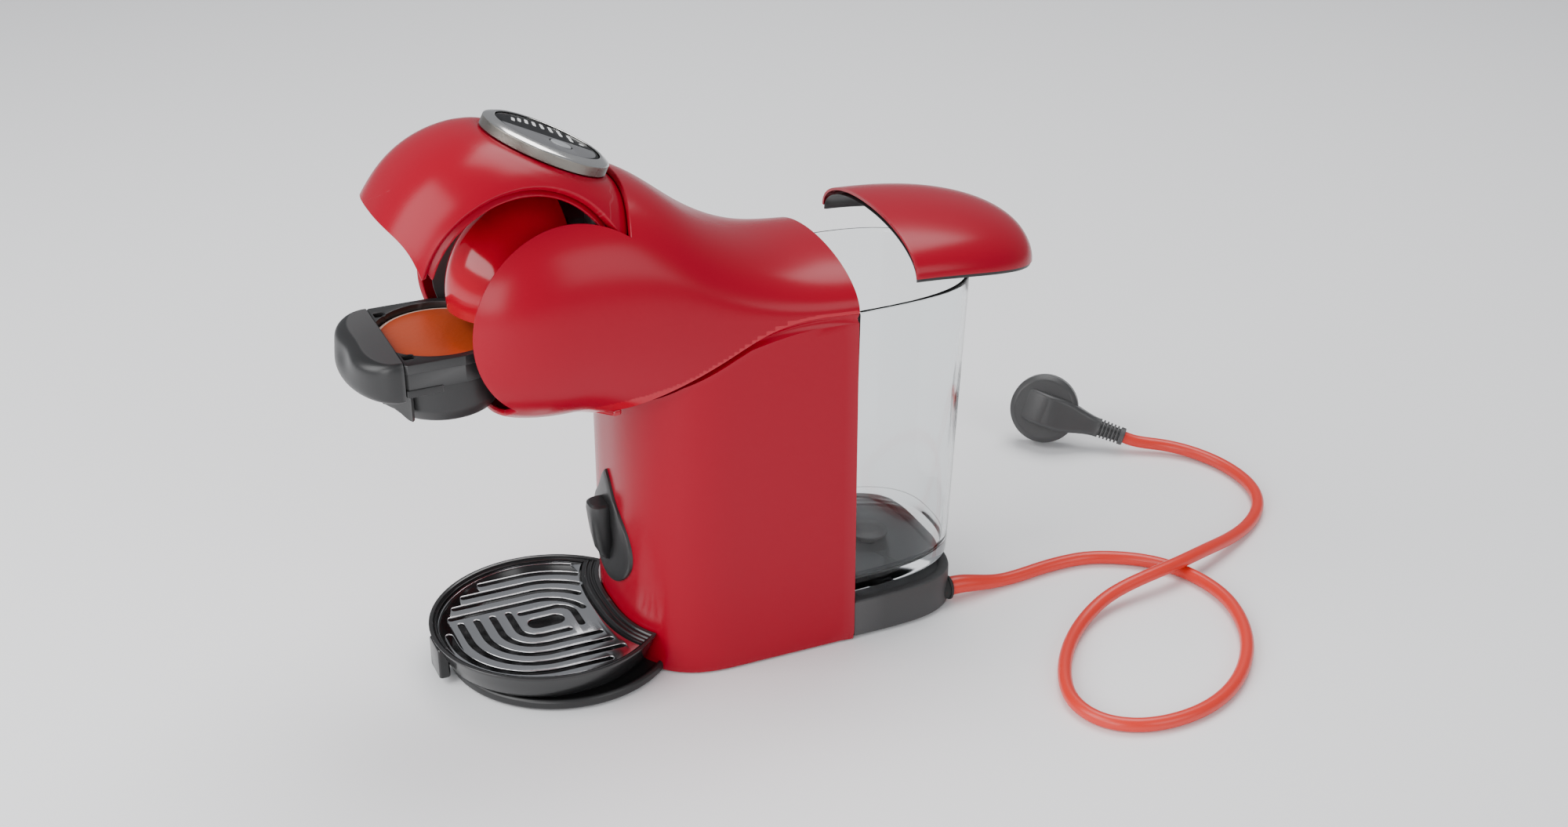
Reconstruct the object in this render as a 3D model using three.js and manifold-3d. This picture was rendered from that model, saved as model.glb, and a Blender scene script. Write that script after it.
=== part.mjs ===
// A pod coffee machine, shown open: handle raised, pod holder pulled out, tank lid lifted off.
// Millimetres, +Z up. The user stands at -Y. Inside this file the rear wall of the body is the
// plane y = 0 and the table is z = 0; the finished group is shifted along Y by FRAME_SHIFT.
import * as THREE from "three";
import { mergeVertices } from "three/addons/utils/BufferGeometryUtils.js";
import Module from "manifold-3d";

const wasm = await Module();
wasm.setup();

// ---- driving dimensions ---------------------------------------------------------------------
const FRAME_SHIFT = 62; // puts the middle of the machine's own box at y = 0
const GAP = 0.3; // air between touching pieces

const BODY = { halfWidth: 53.2, straight: 63, nose: 47, power: 2.6, wall: 2.5, bottom: 1.2 };
const BALL = { y: -137.5, z: 197, front: 66.5, up: 62, down: 56, halfWidth: 57 };
const HEAD = { wall: 3, cheekRadius: 47.5, openFrom: -55, neckEdge: -102, neckDip: 7 };
const PIVOT = { y: -117.5, z: 239.5, swing: 35.5, pinRadius: 2.5 };
const HANDLE = { skin: 5, clearRadius: 48.6, eyeFrom: 30.8, eyeTo: 35.2 };
const HANDLE_BOTTOM = 190.5; // lower edge of the closed handle
const DIAL = { y: -146.7, z: 251.2, tilt: 9.3, ring: 30.5, glass: 25, height: 7, button: 5 };
const BUTTON = { x: 8, y: 4 };
const JAW = { bottom: 194.9, plate: 193.4 };
const POD = { y: -188.5, rim: 29.6, top: 185.3, bodyTop: 26.4, bodyBottom: 21.5, height: 30 };
const HOLDER = { top: 187.5, half: 34, skirt: 171.5, front: -213.5, gripFront: -235.5, ringRadius: 31.6 };
const TANK = { wTop: 49.9, lTop: 76.4, wBottom: 44.5, lBottom: 71, z0: 23, z1: 180.6, wall: 2.2 };
const LID = { halfWidth: 53.4, length: 82, rim: 183.2, crown: 203.1, dip: 13, lift: 10.5, back: 29.5 };
const PLATFORM = { halfWidth: 52.6, length: 66, power: 4, top: 21.8 };
const TRAY = { y: -144.7, rim: 58.4, rimTop: 22.4, floor: 6.9, grate: 54.3, grateTop: 20.3 };
const FOOT = { y: -137.9, radius: 56.4, top: 6.3, bottom: 1.0 };
const CORD = { radius: 3.5, exit: [38, 62.6, 8] };

// ---- colours and finishes -------------------------------------------------------------------
const finish = (color, roughness, metalness = 0, extra = {}) =>
  new THREE.MeshStandardMaterial({ color, roughness, metalness, ...extra });
const RED = () => finish(0xb8001e, 0.3);
const BLACK = () => finish(0x242424, 0.4);
const DARK = () => finish(0x38393a, 0.5);
const STEEL = () => finish(0x8f8f8f, 0.25, 1);
const CLEAR = () => finish(0xe8ecee, 0.08, 0, { transparent: true, opacity: 0.35 });
const RUBBER = () => finish(0x1b1b1b, 0.8);
const CORD_RED = () => finish(0xd83a2a, 0.45);

// ---- solids --------------------------------------------------------------------------------
// A closed geometry as a manifold solid, and back.
function solid(geometry) {
  const bare = geometry.clone();
  bare.deleteAttribute("normal");
  bare.deleteAttribute("uv");
  const merged = mergeVertices(bare, 1e-4);
  return new wasm.Manifold(
    new wasm.Mesh({
      numProp: 3,
      vertProperties: new Float32Array(merged.attributes.position.array),
      triVerts: new Uint32Array(merged.index.array),
    }),
  );
}

function geometryOf(made) {
  const mesh = made.getMesh();
  const geometry = new THREE.BufferGeometry();
  geometry.setAttribute("position", new THREE.BufferAttribute(mesh.vertProperties, 3));
  geometry.setIndex(new THREE.BufferAttribute(mesh.triVerts, 1));
  geometry.computeVertexNormals();
  return geometry;
}

const box = (x0, x1, y0, y1, z0, z1) =>
  solid(
    new THREE.BoxGeometry(x1 - x0, y1 - y0, z1 - z0).translate(
      (x0 + x1) / 2,
      (y0 + y1) / 2,
      (z0 + z1) / 2,
    ),
  );

// A round bar along X, Y or Z from one end to the other, centred on the other two coordinates.
function rod(axis, a, b, from, to, radius, sides = 24, radiusTo = radius) {
  const bar = new THREE.CylinderGeometry(radiusTo, radius, to - from, sides);
  const middle = (from + to) / 2;
  if (axis === "z") bar.rotateX(Math.PI / 2).translate(a, b, middle);
  if (axis === "y") bar.translate(a, middle, b);
  if (axis === "x") bar.rotateZ(-Math.PI / 2).translate(middle, a, b);
  return solid(bar);
}

// An outline in plan, raised from z0 to z1.
const prism = (outline, z0, z1) =>
  solid(
    new THREE.ExtrudeGeometry(new THREE.Shape(outline), {
      depth: z1 - z0,
      bevelEnabled: false,
      curveSegments: 8,
    }).translate(0, 0, z0),
  );

// An outline in the side view, points (y, z), drawn out from x0 to x1.
function sidePrism(outline, x0, x1) {
  const shape = new THREE.Shape(outline);
  const made = new THREE.ExtrudeGeometry(shape, { depth: x1 - x0, bevelEnabled: false });
  const turn = new THREE.Matrix4().makeBasis(
    new THREE.Vector3(0, 1, 0),
    new THREE.Vector3(0, 0, 1),
    new THREE.Vector3(1, 0, 0),
  );
  return solid(made.applyMatrix4(turn).translate(x0, 0, 0));
}

// A skin through closed rings of equal count, with a flat fan over each end.
function loft(rings) {
  const count = rings[0].length;
  const points = rings.flat();
  const faces = [];
  for (let r = 0; r + 1 < rings.length; r++) {
    for (let i = 0; i < count; i++) {
      const a = r * count + i;
      const b = r * count + ((i + 1) % count);
      faces.push(a, b, b + count, a, b + count, a + count);
    }
  }
  const middleOf = (ring) =>
    ring.reduce((sum, p) => sum.add(p), new THREE.Vector3()).divideScalar(count);
  const last = (rings.length - 1) * count;
  points.push(middleOf(rings[0]), middleOf(rings[rings.length - 1]));
  for (let i = 0; i < count; i++) {
    const j = (i + 1) % count;
    faces.push(points.length - 2, j, i, points.length - 1, last + i, last + j);
  }
  const geometry = new THREE.BufferGeometry().setFromPoints(points);
  geometry.setIndex(faces);
  const made = solid(geometry);
  if (made.volume() > 0) return made;
  geometry.setIndex(faces.reverse());
  return solid(geometry);
}

function lathe(profile, sides = 36) {
  const points = profile.map(([r, z]) => new THREE.Vector2(r, z));
  return solid(new THREE.LatheGeometry(points, sides).rotateX(Math.PI / 2));
}

const cut = (made, ...tools) => tools.reduce((left, tool) => left.subtract(tool), made);
const join = (made, ...more) => more.reduce((sum, piece) => sum.add(piece), made);
const moved = (made, x, y, z) => made.translate([x, y, z]);

// Cubic interpolation through hand-placed stations [position, value], positions rising.
function along(stations, at) {
  const last = stations.length - 1;
  const slope = (i) => {
    const a = stations[Math.max(i - 1, 0)];
    const b = stations[Math.min(i + 1, last)];
    return (b[1] - a[1]) / (b[0] - a[0]);
  };
  if (at <= stations[0][0]) return stations[0][1];
  if (at >= stations[last][0]) return stations[last][1];
  const k = stations.findIndex((s) => s[0] > at) - 1;
  const [x0, v0] = stations[k];
  const [x1, v1] = stations[k + 1];
  const t = (at - x0) / (x1 - x0);
  const m0 = slope(k) * (x1 - x0);
  const m1 = slope(k + 1) * (x1 - x0);
  return (
    v0 * (1 + 2 * t) * (1 - t) ** 2 +
    m0 * t * (1 - t) ** 2 +
    v1 * t * t * (3 - 2 * t) +
    m1 * t * t * (t - 1)
  );
}

// ---- shared outlines ------------------------------------------------------------------------
// A D in plan: flat at y = base, straight sides, and a superellipse nose pointing along sign * Y.
function dOutline(halfWidth, base, straight, nose, power, sign, steps = 22) {
  const points = [new THREE.Vector2(halfWidth, base)];
  for (let i = 0; i <= steps; i++) {
    const turn = (Math.PI * i) / steps;
    const c = Math.cos(turn);
    const s = Math.sin(turn);
    const x = halfWidth * Math.sign(c) * Math.abs(c) ** (2 / power);
    const y = base + sign * (straight + nose * Math.abs(s) ** (2 / power));
    points.push(new THREE.Vector2(x, y));
  }
  points.push(new THREE.Vector2(-halfWidth, base));
  return straight > 0 ? points : points.slice(1, -1);
}

const bodyOutline = (inset, base = 0) =>
  dOutline(
    BODY.halfWidth - inset,
    base,
    BODY.straight + base,
    BODY.nose - inset,
    BODY.power,
    -1,
  );

function circleOutline(x, y, radius, steps = 40) {
  return Array.from({ length: steps }, (_, i) => {
    const turn = (2 * Math.PI * i) / steps;
    return new THREE.Vector2(x + radius * Math.cos(turn), y + radius * Math.sin(turn));
  });
}

// ---- the head's form ------------------------------------------------------------------------
// Seen from the side it is a drop: a ball at the front and a neck running back to y = 0.
const TOP_LINE = [
  [-137.5, 259],
  [-108, 254],
  [-88, 243.5],
  [-68, 228],
  [-48, 215.5],
  [-27, 207.5],
  [0, 203.5],
];
const WIDTH_LINE = [
  [-137.5, 57],
  [-100, 56],
  [-60, 53.8],
  [-25, 53.2],
  [0, 53.2],
];
const MIDDLE_LINE = [
  [-137.5, 197],
  [-100, 196],
  [-70, 190],
  [-40, 185],
  [0, 182],
];
const BELLY_LINE = [
  [-137.5, 141],
  [-110, 131],
  [-86, 118],
  [-60, 104],
  [0, 90],
];
// The joint between head and body.
const SEAM_LINE = [
  [-140, 141],
  [-125, 146],
  [-110, 152],
  [-86, 162],
  [-67, 170.5],
  [-45, 180],
  [-25, 183],
  [0, 181.5],
];
const rounded = (share, power) => Math.max(0, 1 - Math.abs(share) ** power) ** (1 / power);

function headAt(y) {
  if (y >= BALL.y)
    return {
      half: along(WIDTH_LINE, y),
      top: along(TOP_LINE, y),
      middle: along(MIDDLE_LINE, y),
      belly: along(BELLY_LINE, y),
    };
  const share = (BALL.y - y) / BALL.front;
  return {
    half: BALL.halfWidth * rounded(share, 2.5),
    top: BALL.z + BALL.up * rounded(share, 2.1),
    middle: BALL.z,
    belly: BALL.z - BALL.down * rounded(share, 2.3),
  };
}

// One ring of the head's surface at y, pulled in by an inset all round.
function headRing(y, inset, count = 28) {
  const at = headAt(y);
  return Array.from({ length: count }, (_, i) => {
    const turn = (2 * Math.PI * i) / count;
    const c = Math.cos(turn);
    const s = Math.sin(turn);
    const tall = s > 0 ? at.top - at.middle : at.middle - at.belly;
    const x = Math.sign(c) * Math.abs(c) ** 0.87 * Math.max(at.half - inset, 0.5);
    const z = at.middle + Math.sign(s) * Math.abs(s) ** 0.87 * Math.max(tall - inset, 0.5);
    return new THREE.Vector3(x, y, z);
  });
}

function headForm(inset, rear = 0) {
  const nose = BALL.y - BALL.front + inset;
  const shares = [0.002, 0.02, 0.07, 0.16, 0.28, 0.42, 0.58, 0.78, 1];
  const front = shares.map((s) => nose + s * (BALL.y - nose));
  const back = [-124, -110, -96, -82, -68, -54, -40, -26, -12].filter((y) => y < rear - 1);
  return loft([...front, ...back, rear].map((y) => headRing(y, inset)));
}

const cheekDisc = (radius, x0 = -80, x1 = 80, sides = 48) =>
  rod("x", BALL.y, BALL.z, x0, x1, radius, sides);

// Everything below the joint between head and body, drawn right across.
function belowSeam(raise) {
  const line = Array.from({ length: 19 }, (_, i) => {
    const y = -140 + (i * 146) / 18;
    return new THREE.Vector2(y, along(SEAM_LINE, y) + raise);
  });
  const outline = [new THREE.Vector2(-140, 0), new THREE.Vector2(6, 0), ...line.reverse()];
  return sidePrism(outline, -90, 90);
}

// Everything in front of the neck's arched front edge.
function aheadOfNeck(shift, zFrom) {
  const line = Array.from({ length: 13 }, (_, i) => {
    const x = 60 - 10 * i;
    return new THREE.Vector2(x, HEAD.neckEdge + shift - HEAD.neckDip * (x / 44) ** 2);
  });
  const outline = [new THREE.Vector2(-60, -260), new THREE.Vector2(60, -260), ...line];
  return prism(outline, zFrom, 330);
}

// The sector of the ball that the handle closes: outside the cheeks, from below round to the neck.
function mouth() {
  const low = THREE.MathUtils.degToRad(HEAD.openFrom);
  const far = 160;
  const outline = [
    new THREE.Vector2(BALL.y, BALL.z),
    new THREE.Vector2(BALL.y - far * Math.cos(low), BALL.z + far * Math.sin(low)),
    new THREE.Vector2(-300, BALL.z),
    new THREE.Vector2(-300, 330),
    new THREE.Vector2(60, 330),
    new THREE.Vector2(60, BALL.z),
  ].reverse();
  const ahead = aheadOfNeck(0, 60);
  return cut(sidePrism(outline, -80, 80), cheekDisc(HEAD.cheekRadius)).intersect(ahead);
}

// ---- assembly helpers -----------------------------------------------------------------------
const machine = new THREE.Group();
machine.position.y = FRAME_SHIFT;

function add(name, made, material, parent = machine) {
  const mesh = new THREE.Mesh(geometryOf(made), material);
  mesh.name = name;
  parent.add(mesh);
  return mesh;
}

// ---- body --------------------------------------------------------------------------------
function buildBody() {
  const outer = prism(bodyOutline(0), BODY.bottom, 205);
  const inner = prism(bodyOutline(BODY.wall, 1), -5, 230);
  const hookSlot = box(-5, 5, -115, -100, 44, 74);
  const shell = cut(outer, inner, hookSlot, aboveSeam());
  add("column_shell", shell, RED());

  const rearPlate = prism(
    [
      new THREE.Vector2(-49.7, -3),
      new THREE.Vector2(49.7, -3),
      new THREE.Vector2(49.7, -0.6),
      new THREE.Vector2(-49.7, -0.6),
    ],
    5,
    198,
  );
  const archInside = headForm(HEAD.wall + 2 * GAP, 2);
  const low = box(-52, 52, -4, 0, 0, 182);
  add("rear_panel", rearPlate.intersect(join(archInside, low)), DARK());

  const floor = prism(bodyOutline(BODY.wall + GAP, -3.4), 1.6, 4.2);
  add("base_plate", floor, DARK());
}

// Everything above the joint, less the air gap.
function aboveSeam() {
  const line = Array.from({ length: 19 }, (_, i) => {
    const y = -140 + (i * 146) / 18;
    return new THREE.Vector2(y, along(SEAM_LINE, y) - 0.4);
  });
  const outline = [...line, new THREE.Vector2(6, 300), new THREE.Vector2(-140, 300)];
  return sidePrism(outline, -90, 90);
}

function buildHead() {
  const skin = cut(headForm(0), headForm(HEAD.wall, 3));
  const bellySlot = box(-31, 31, -230, -112.5, 100, 176);
  add("head_shell", cut(skin, belowSeam(0), mouth(), bellySlot), RED());

  const tongue = prism(
    dOutline(30.4, -112.9, 12, 36, 2.2, -1, 16),
    142.5,
    147,
  );
  const outlet = rod("z", 0, -150.5, 130, 160, 7);
  add("outlet_cover", cut(tongue, outlet), RED());
}

// What sits between the cheeks: liners, the hinge block and its pins, the fixed frame.
function buildHeadInside() {
  for (const [side, sign] of [
    ["left", -1],
    ["right", 1],
  ]) {
    const x0 = sign > 0 ? 38.6 : -40.4;
    const liner = cut(cheekDisc(42.2, x0, x0 + 1.8, 36), box(-50, 50, -108, -60, 100, 300));
    const pinHole = rod("x", PIVOT.y, PIVOT.z, -60, 60, PIVOT.pinRadius + 3);
    const clear = box(-50, 50, -260, -60, 100, 166);
    add(`cheek_liner_${side}`, cut(liner, pinHole, clear), DARK());
    const from = sign > 0 ? 20 : -36.4;
    add(`hinge_pin_${side}`, rod("x", PIVOT.y, PIVOT.z, from, from + 16.4, PIVOT.pinRadius, 16), STEEL());
  }
  const block = join(
    box(-16, 16, -130, -110, 222, 236),
    box(-30, 30, -128, -110, 205, 226),
    box(-30, -17, -122.2, -114.4, 225, 242.6),
    box(17, 30, -122.2, -114.4, 225, 242.6),
  );
  const bore = rod("x", PIVOT.y, PIVOT.z, -60, 60, PIVOT.pinRadius + 0.05, 16);
  add("hinge_block", cut(block, bore, cut(headForm(-40), headForm(HEAD.wall + 5))), DARK());
  const guide = box(-14, 14, -128, -112, 190, 204.7);
  add("needle_guide", cut(guide, box(-9, 9, -124, -116, 180, 230)), BLACK());
}

// The press that comes down on the pod as the handle closes.
function buildInjector() {
  const rings = [0.03, 0.14, 0.3, 0.5, 0.75, 1, 1.25, 1.5, 1.7, 1.86, 1.97].map((s) => {
    const x = 37.6 * (1 - s);
    const radius = 46.2 * rounded(1 - s, 2.4);
    return Array.from({ length: 28 }, (_, i) => {
      const turn = (2 * Math.PI * i) / 28;
      return new THREE.Vector3(x, BALL.y + radius * Math.cos(turn), BALL.z + 4 + radius * Math.sin(turn));
    });
  });
  const dome = loft(rings);
  const keepOut = join(
    box(-60, 60, -260, -60, 100, JAW.bottom),
    box(-60, 60, -131.6, -60, 100, 300),
    box(-12, 12, -160, -141, 190, 208),
  );
  add("jaw_cover", cut(dome, keepOut), RED());
  const plate = rod("z", 0, -150.5, JAW.plate, JAW.bottom - GAP, 17, 32);
  const hole = rod("z", 0, -150.5, 180, 210, 3, 16);
  add("press_plate", cut(plate, hole), BLACK());
  const needle = join(
    rod("z", 0, -150.5, JAW.bottom, 207.5, 5, 16),
    rod("z", 0, -150.5, JAW.plate - 2.4, JAW.bottom + 0.1, 1.2, 12),
  );
  add("needle", needle, STEEL());
}

// The handle is shaped closed, then swung up about the hinge.
const SWING = THREE.MathUtils.degToRad(PIVOT.swing);
function swungUp(made) {
  const turn = [-PIVOT.swing, 0, 0];
  return made.translate([0, -PIVOT.y, -PIVOT.z]).rotate(turn).translate([0, PIVOT.y, PIVOT.z]);
}

// Dial pieces are turned about a vertical axis, then tipped onto the closed handle.
const onDial = (made) => moved(made.rotate([DIAL.tilt, 0, 0]), 0, DIAL.y, DIAL.z);

function buildHandle() {
  const sector = [
    new THREE.Vector2(-260, HANDLE_BOTTOM),
    new THREE.Vector2(-60, HANDLE_BOTTOM),
    new THREE.Vector2(-60, 330),
    new THREE.Vector2(-260, 330),
  ];
  const zone = sidePrism(sector, -70, 70);
  const skin = cut(headForm(0), headForm(HANDLE.skin), cheekDisc(HANDLE.clearRadius)).intersect(zone);
  const seat = onDial(rod("z", 0, 0, -0.3, 60, DIAL.ring + 0.6, 36));
  const shoulder = onDial(rod("z", 0, 0, 2.4, 60, DIAL.ring + 9, 36));
  const seatFloor = onDial(rod("z", 0, 0, -1.9, -0.3, DIAL.ring + 4, 36)).intersect(headForm(1));
  let shell = cut(join(skin, seatFloor), seat, shoulder);
  shell = cut(shell, box(-80, 80, -111.5, 0, 100, 330));
  // Room for the cheeks through the whole swing.
  const steps = 5;
  for (let i = 0; i <= steps; i++) {
    const angle = (PIVOT.swing * i) / steps;
    const ring = cut(
      cheekDisc(HEAD.cheekRadius + 0.6),
      box(-HANDLE.eyeTo - 0.3, HANDLE.eyeTo + 0.3, -300, 0, 100, 330),
    );
    const turned = moved(
      moved(ring, 0, -PIVOT.y, -PIVOT.z).rotate([angle, 0, 0]),
      0,
      PIVOT.y,
      PIVOT.z,
    );
    shell = cut(shell, turned);
  }
  // Eyes for the hinge pins.
  const eyes = join(
    rod("x", PIVOT.y, PIVOT.z, HANDLE.eyeFrom, HANDLE.eyeTo, 5.4, 20),
    rod("x", PIVOT.y, PIVOT.z, -HANDLE.eyeTo, -HANDLE.eyeFrom, 5.4, 20),
    box(HANDLE.eyeFrom, HANDLE.eyeTo, PIVOT.y - 5.4, PIVOT.y + 3, PIVOT.z, 251),
    box(-HANDLE.eyeTo, -HANDLE.eyeFrom, PIVOT.y - 5.4, PIVOT.y + 3, PIVOT.z, 251),
  ).intersect(headForm(2));
  const bores = rod("x", PIVOT.y, PIVOT.z, -60, 60, PIVOT.pinRadius + 0.05, 16);
  shell = cut(join(shell, eyes), bores);
  shell = cut(swungUp(shell), behindHandle());
  add("handle_shell", shell, RED());

  const cupRadius = DIAL.glass - 1;
  const cup = lathe([
    [0, 0],
    [cupRadius, 0],
    [cupRadius, 1.7],
    [0, 1.7],
  ]);
  add("dial_cup", swungUp(onDial(cup)), BLACK());
  const ring = [
    [DIAL.glass + 0.5, 0.2],
    [DIAL.ring, 0.2],
    [DIAL.ring, 4.6],
    [DIAL.ring - 0.8, 5.4],
    [DIAL.glass + 1.2, DIAL.height],
    [DIAL.glass + 0.5, DIAL.height],
    [DIAL.glass + 0.5, 0.2],
  ];
  add("dial_ring", swungUp(onDial(lathe(ring, 40))), STEEL());
  const glass = lathe([[0, 2], [DIAL.glass, 2], [DIAL.glass, 6.2], [0, 6.2]], 40);
  const buttonWell = rod("z", BUTTON.x, BUTTON.y, 3.2, 12, DIAL.button + GAP, 24);
  add("display_glass", swungUp(onDial(cut(glass, buttonWell))), BLACK());
  const button = rod("z", BUTTON.x, BUTTON.y, 4.8, 6.5, DIAL.button, 24);
  add("select_button", swungUp(onDial(button)), DARK());
}

// The neck's front edge, less an air gap, with everything behind it.
function behindHandle() {
  const line = Array.from({ length: 13 }, (_, i) => {
    const x = 60 - 10 * i;
    return new THREE.Vector2(x, HEAD.neckEdge - 0.8 - HEAD.neckDip * (x / 44) ** 2);
  });
  const outline = [new THREE.Vector2(60, 0), ...line, new THREE.Vector2(-60, 0)];
  return prism(outline.reverse(), 100, 330);
}

// ---- pod holder and pod ---------------------------------------------------------------------
function buildHolder() {
  const H = HOLDER;
  const plateOutline = [
    new THREE.Vector2(H.half, H.front),
    new THREE.Vector2(H.half, -186),
    ...arc(0, POD.y, 34.2, 5, 175, 14),
    new THREE.Vector2(-H.half, -186),
    new THREE.Vector2(-H.half, H.front),
  ];
  const gripOutline = [
    new THREE.Vector2(H.half, H.front - 0.01),
    new THREE.Vector2(-H.half, H.front - 0.01),
    ...Array.from({ length: 13 }, (_, i) => {
      const turn = (Math.PI * i) / 12;
      const x = -H.half * Math.cos(turn);
      return new THREE.Vector2(x, H.front - 3 - (H.front - H.gripFront - 3) * Math.sin(turn) ** 0.8);
    }),
  ];
  const around = rod("z", 0, POD.y, H.skirt + 3, H.top, H.ringRadius, 40);
  const plate = join(prism(plateOutline, H.skirt + 3, H.top), around);
  const deep = prism(
    [
      new THREE.Vector2(H.half, H.front),
      new THREE.Vector2(H.half, -196),
      new THREE.Vector2(-H.half, -196),
      new THREE.Vector2(-H.half, H.front),
    ],
    H.skirt,
    H.top,
  );
  const cupWall = rod("z", 0, POD.y, 150.6, 176, 27.6, 40, 29.2);
  const tab = box(-9, 9, -219, -213, 158, 168.6);
  const body = join(plate, deep, cupWall, tab);
  const seat = rod("z", 0, POD.y, POD.top - 2.4, 200, POD.rim + 0.5, 40);
  const hollow = rod("z", 0, POD.y, 153, 186, POD.bodyBottom + 0.6, 40, POD.bodyTop + 2);
  const spout = rod("z", 0, POD.y, 140, 160, 9, 24);
  const keys = join(box(22.5, 27.5, -212, -207, 180, 200), box(-27.5, -22.5, -212, -207, 180, 200));
  add("holder_plate", cut(body, seat, hollow, spout, keys), BLACK());
  const grip = cut(
    prism(gripOutline, 169, 188.6),
    box(-60, 60, -213.5 - GAP, -200, 100, 300),
    rod("x", -243, 196, -13, 13, 15, 24),
    rod("z", 0, POD.y, 100, 300, H.ringRadius + GAP, 40),
  );
  add("holder_grip", grip, BLACK());

  const lip = [
    [0, POD.top - POD.height],
    [POD.bodyBottom, POD.top - POD.height],
    [POD.bodyTop, POD.top - 2],
    [POD.rim, POD.top - 2],
    [POD.rim, POD.top - 0.9],
    [POD.bodyTop - 1.2, POD.top - 0.9],
    [POD.bodyBottom - 1.2, POD.top - POD.height + 1.2],
    [0, POD.top - POD.height + 1.2],
  ];
  add("pod_cup", moved(lathe(lip, 36), 0, POD.y, 0), finish(0xd9d4cc, 0.5));
  const foil = [
    [0, POD.top - 0.6],
    [POD.rim - 0.6, POD.top - 0.6],
    [POD.rim - 0.6, POD.top - 0.1],
    [0, POD.top],
  ];
  add("pod_foil", moved(lathe(foil, 36), 0, POD.y, 0), finish(0xd9562e, 0.3, 0.4));
}

function arc(x, y, radius, fromDeg, toDeg, steps) {
  return Array.from({ length: steps + 1 }, (_, i) => {
    const turn = THREE.MathUtils.degToRad(fromDeg + ((toDeg - fromDeg) * i) / steps);
    return new THREE.Vector2(x + radius * Math.cos(turn), y + radius * Math.sin(turn));
  });
}

// ---- tank, lid and the platform under them --------------------------------------------------
// A ring of the tank's plan: flat front wall at y = front, rounded rear.
function tankRing(halfWidth, length, front, z, power, steps = 24) {
  const points = dOutline(halfWidth, front, 0.001, length, power, 1, steps);
  return points.map((p) => new THREE.Vector3(p.x, p.y, z));
}

function buildTank() {
  const T = TANK;
  const outer = loft([
    tankRing(T.wBottom, T.lBottom, 0.8, T.z0, 2.8),
    tankRing(T.wTop, T.lTop, 0.8, T.z1, 3),
  ]);
  const inner = loft([
    tankRing(T.wBottom - T.wall, T.lBottom - 2 * T.wall, 0.8 + T.wall, T.z0 + 4.5, 2.8),
    tankRing(T.wTop - T.wall, T.lTop - 2 * T.wall, 0.8 + T.wall, T.z1 + 1, 3),
  ]);
  const drain = rod("z", 0, 33, 0, 40, 6.4, 24);
  add("tank_body", cut(outer, inner, drain), CLEAR());
  const valve = [
    [0, 18],
    [4, 18],
    [4, 24],
    [6.1, 24],
    [6.1, 27.8],
    [10, 27.8],
    [10, 29.4],
    [0, 29.4],
  ];
  add("tank_valve", moved(lathe(valve, 24), 0, 33, 0), finish(0xb9bcbd, 0.3));
}

function lidRing(y, inset, low, count = 11) {
  const L = LID;
  const share = Math.max(0, y) / L.length;
  const half = L.halfWidth * rounded(share, 3) - inset;
  const drop = L.dip * share * share * 0.7 + L.dip * 0.3 * share;
  const rim = L.rim - drop + low;
  const crown = L.rim + (L.crown - L.rim - inset) * rounded(share, 2.6) - drop * 0.55;
  const over = Array.from({ length: count }, (_, i) => {
    const turn = (Math.PI * i) / (count - 1);
    const c = Math.cos(turn);
    const x = Math.max(half, 0.4) * Math.sign(c) * Math.abs(c) ** 0.87;
    return new THREE.Vector3(x, y, rim + Math.max(crown - rim, 0.6) * Math.sin(turn) ** 0.87);
  });
  return over;
}

function buildLid() {
  const shares = [0, 0.2, 0.4, 0.58, 0.74, 0.86, 0.94, 0.985, 1];
  const stations = (from, to) => shares.map((share) => from + (to - from) * share);
  const outer = loft(stations(0.6, LID.length).map((y) => lidRing(y, 0, 0)));
  const hollow = loft(stations(-1, LID.length - 1.4).map((y) => lidRing(y, 1.3, -0.5)));
  const shell = cut(outer, hollow);
  add("lid_shell", lifted(shell), RED());
  const linerOut = loft(stations(0.9, LID.length - 2).map((y) => lidRing(y, 1.6, -2.2)));
  const linerIn = loft(stations(2.4, LID.length - 2.9).map((y) => lidRing(y, 2.3, -2.8)));
  add("lid_liner", lifted(cut(linerOut, linerIn)), BLACK());
}

const lifted = (made) => moved(made, 0, LID.back, LID.lift);

function buildPlatform() {
  const P = PLATFORM;
  const outline = dOutline(P.halfWidth, 0.4, 0.001, P.length - 0.4, P.power, 1, 28);
  const socket = rod("z", 0, 33, 12, 40, 8, 24);
  const well = prism(dOutline(P.halfWidth - 5, 6, 0.001, P.length - 11, P.power, 1, 28), P.top - 1.8, 60);
  const cordHole = rod("y", CORD.exit[0], CORD.exit[2], 44, 80, 6.3, 20);
  add("tank_platform", cut(prism(outline, 1.2, P.top), socket, well, cordHole), DARK());
  const gasket = [
    [4.6, 13],
    [7.4, 13],
    [7.4, 17.5],
    [4.6, 17.5],
    [4.6, 13],
  ];
  add("valve_seal", moved(lathe(gasket, 24), 0, 33, 0), RUBBER());
  const relief = cut(
    rod("y", CORD.exit[0], CORD.exit[2], 44.6, CORD.exit[1], 6, 16, 4.6),
    rod("y", CORD.exit[0], CORD.exit[2], 58, 90, CORD.radius + GAP, 12),
  );
  add("cord_gland", relief, RUBBER());
}

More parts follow.
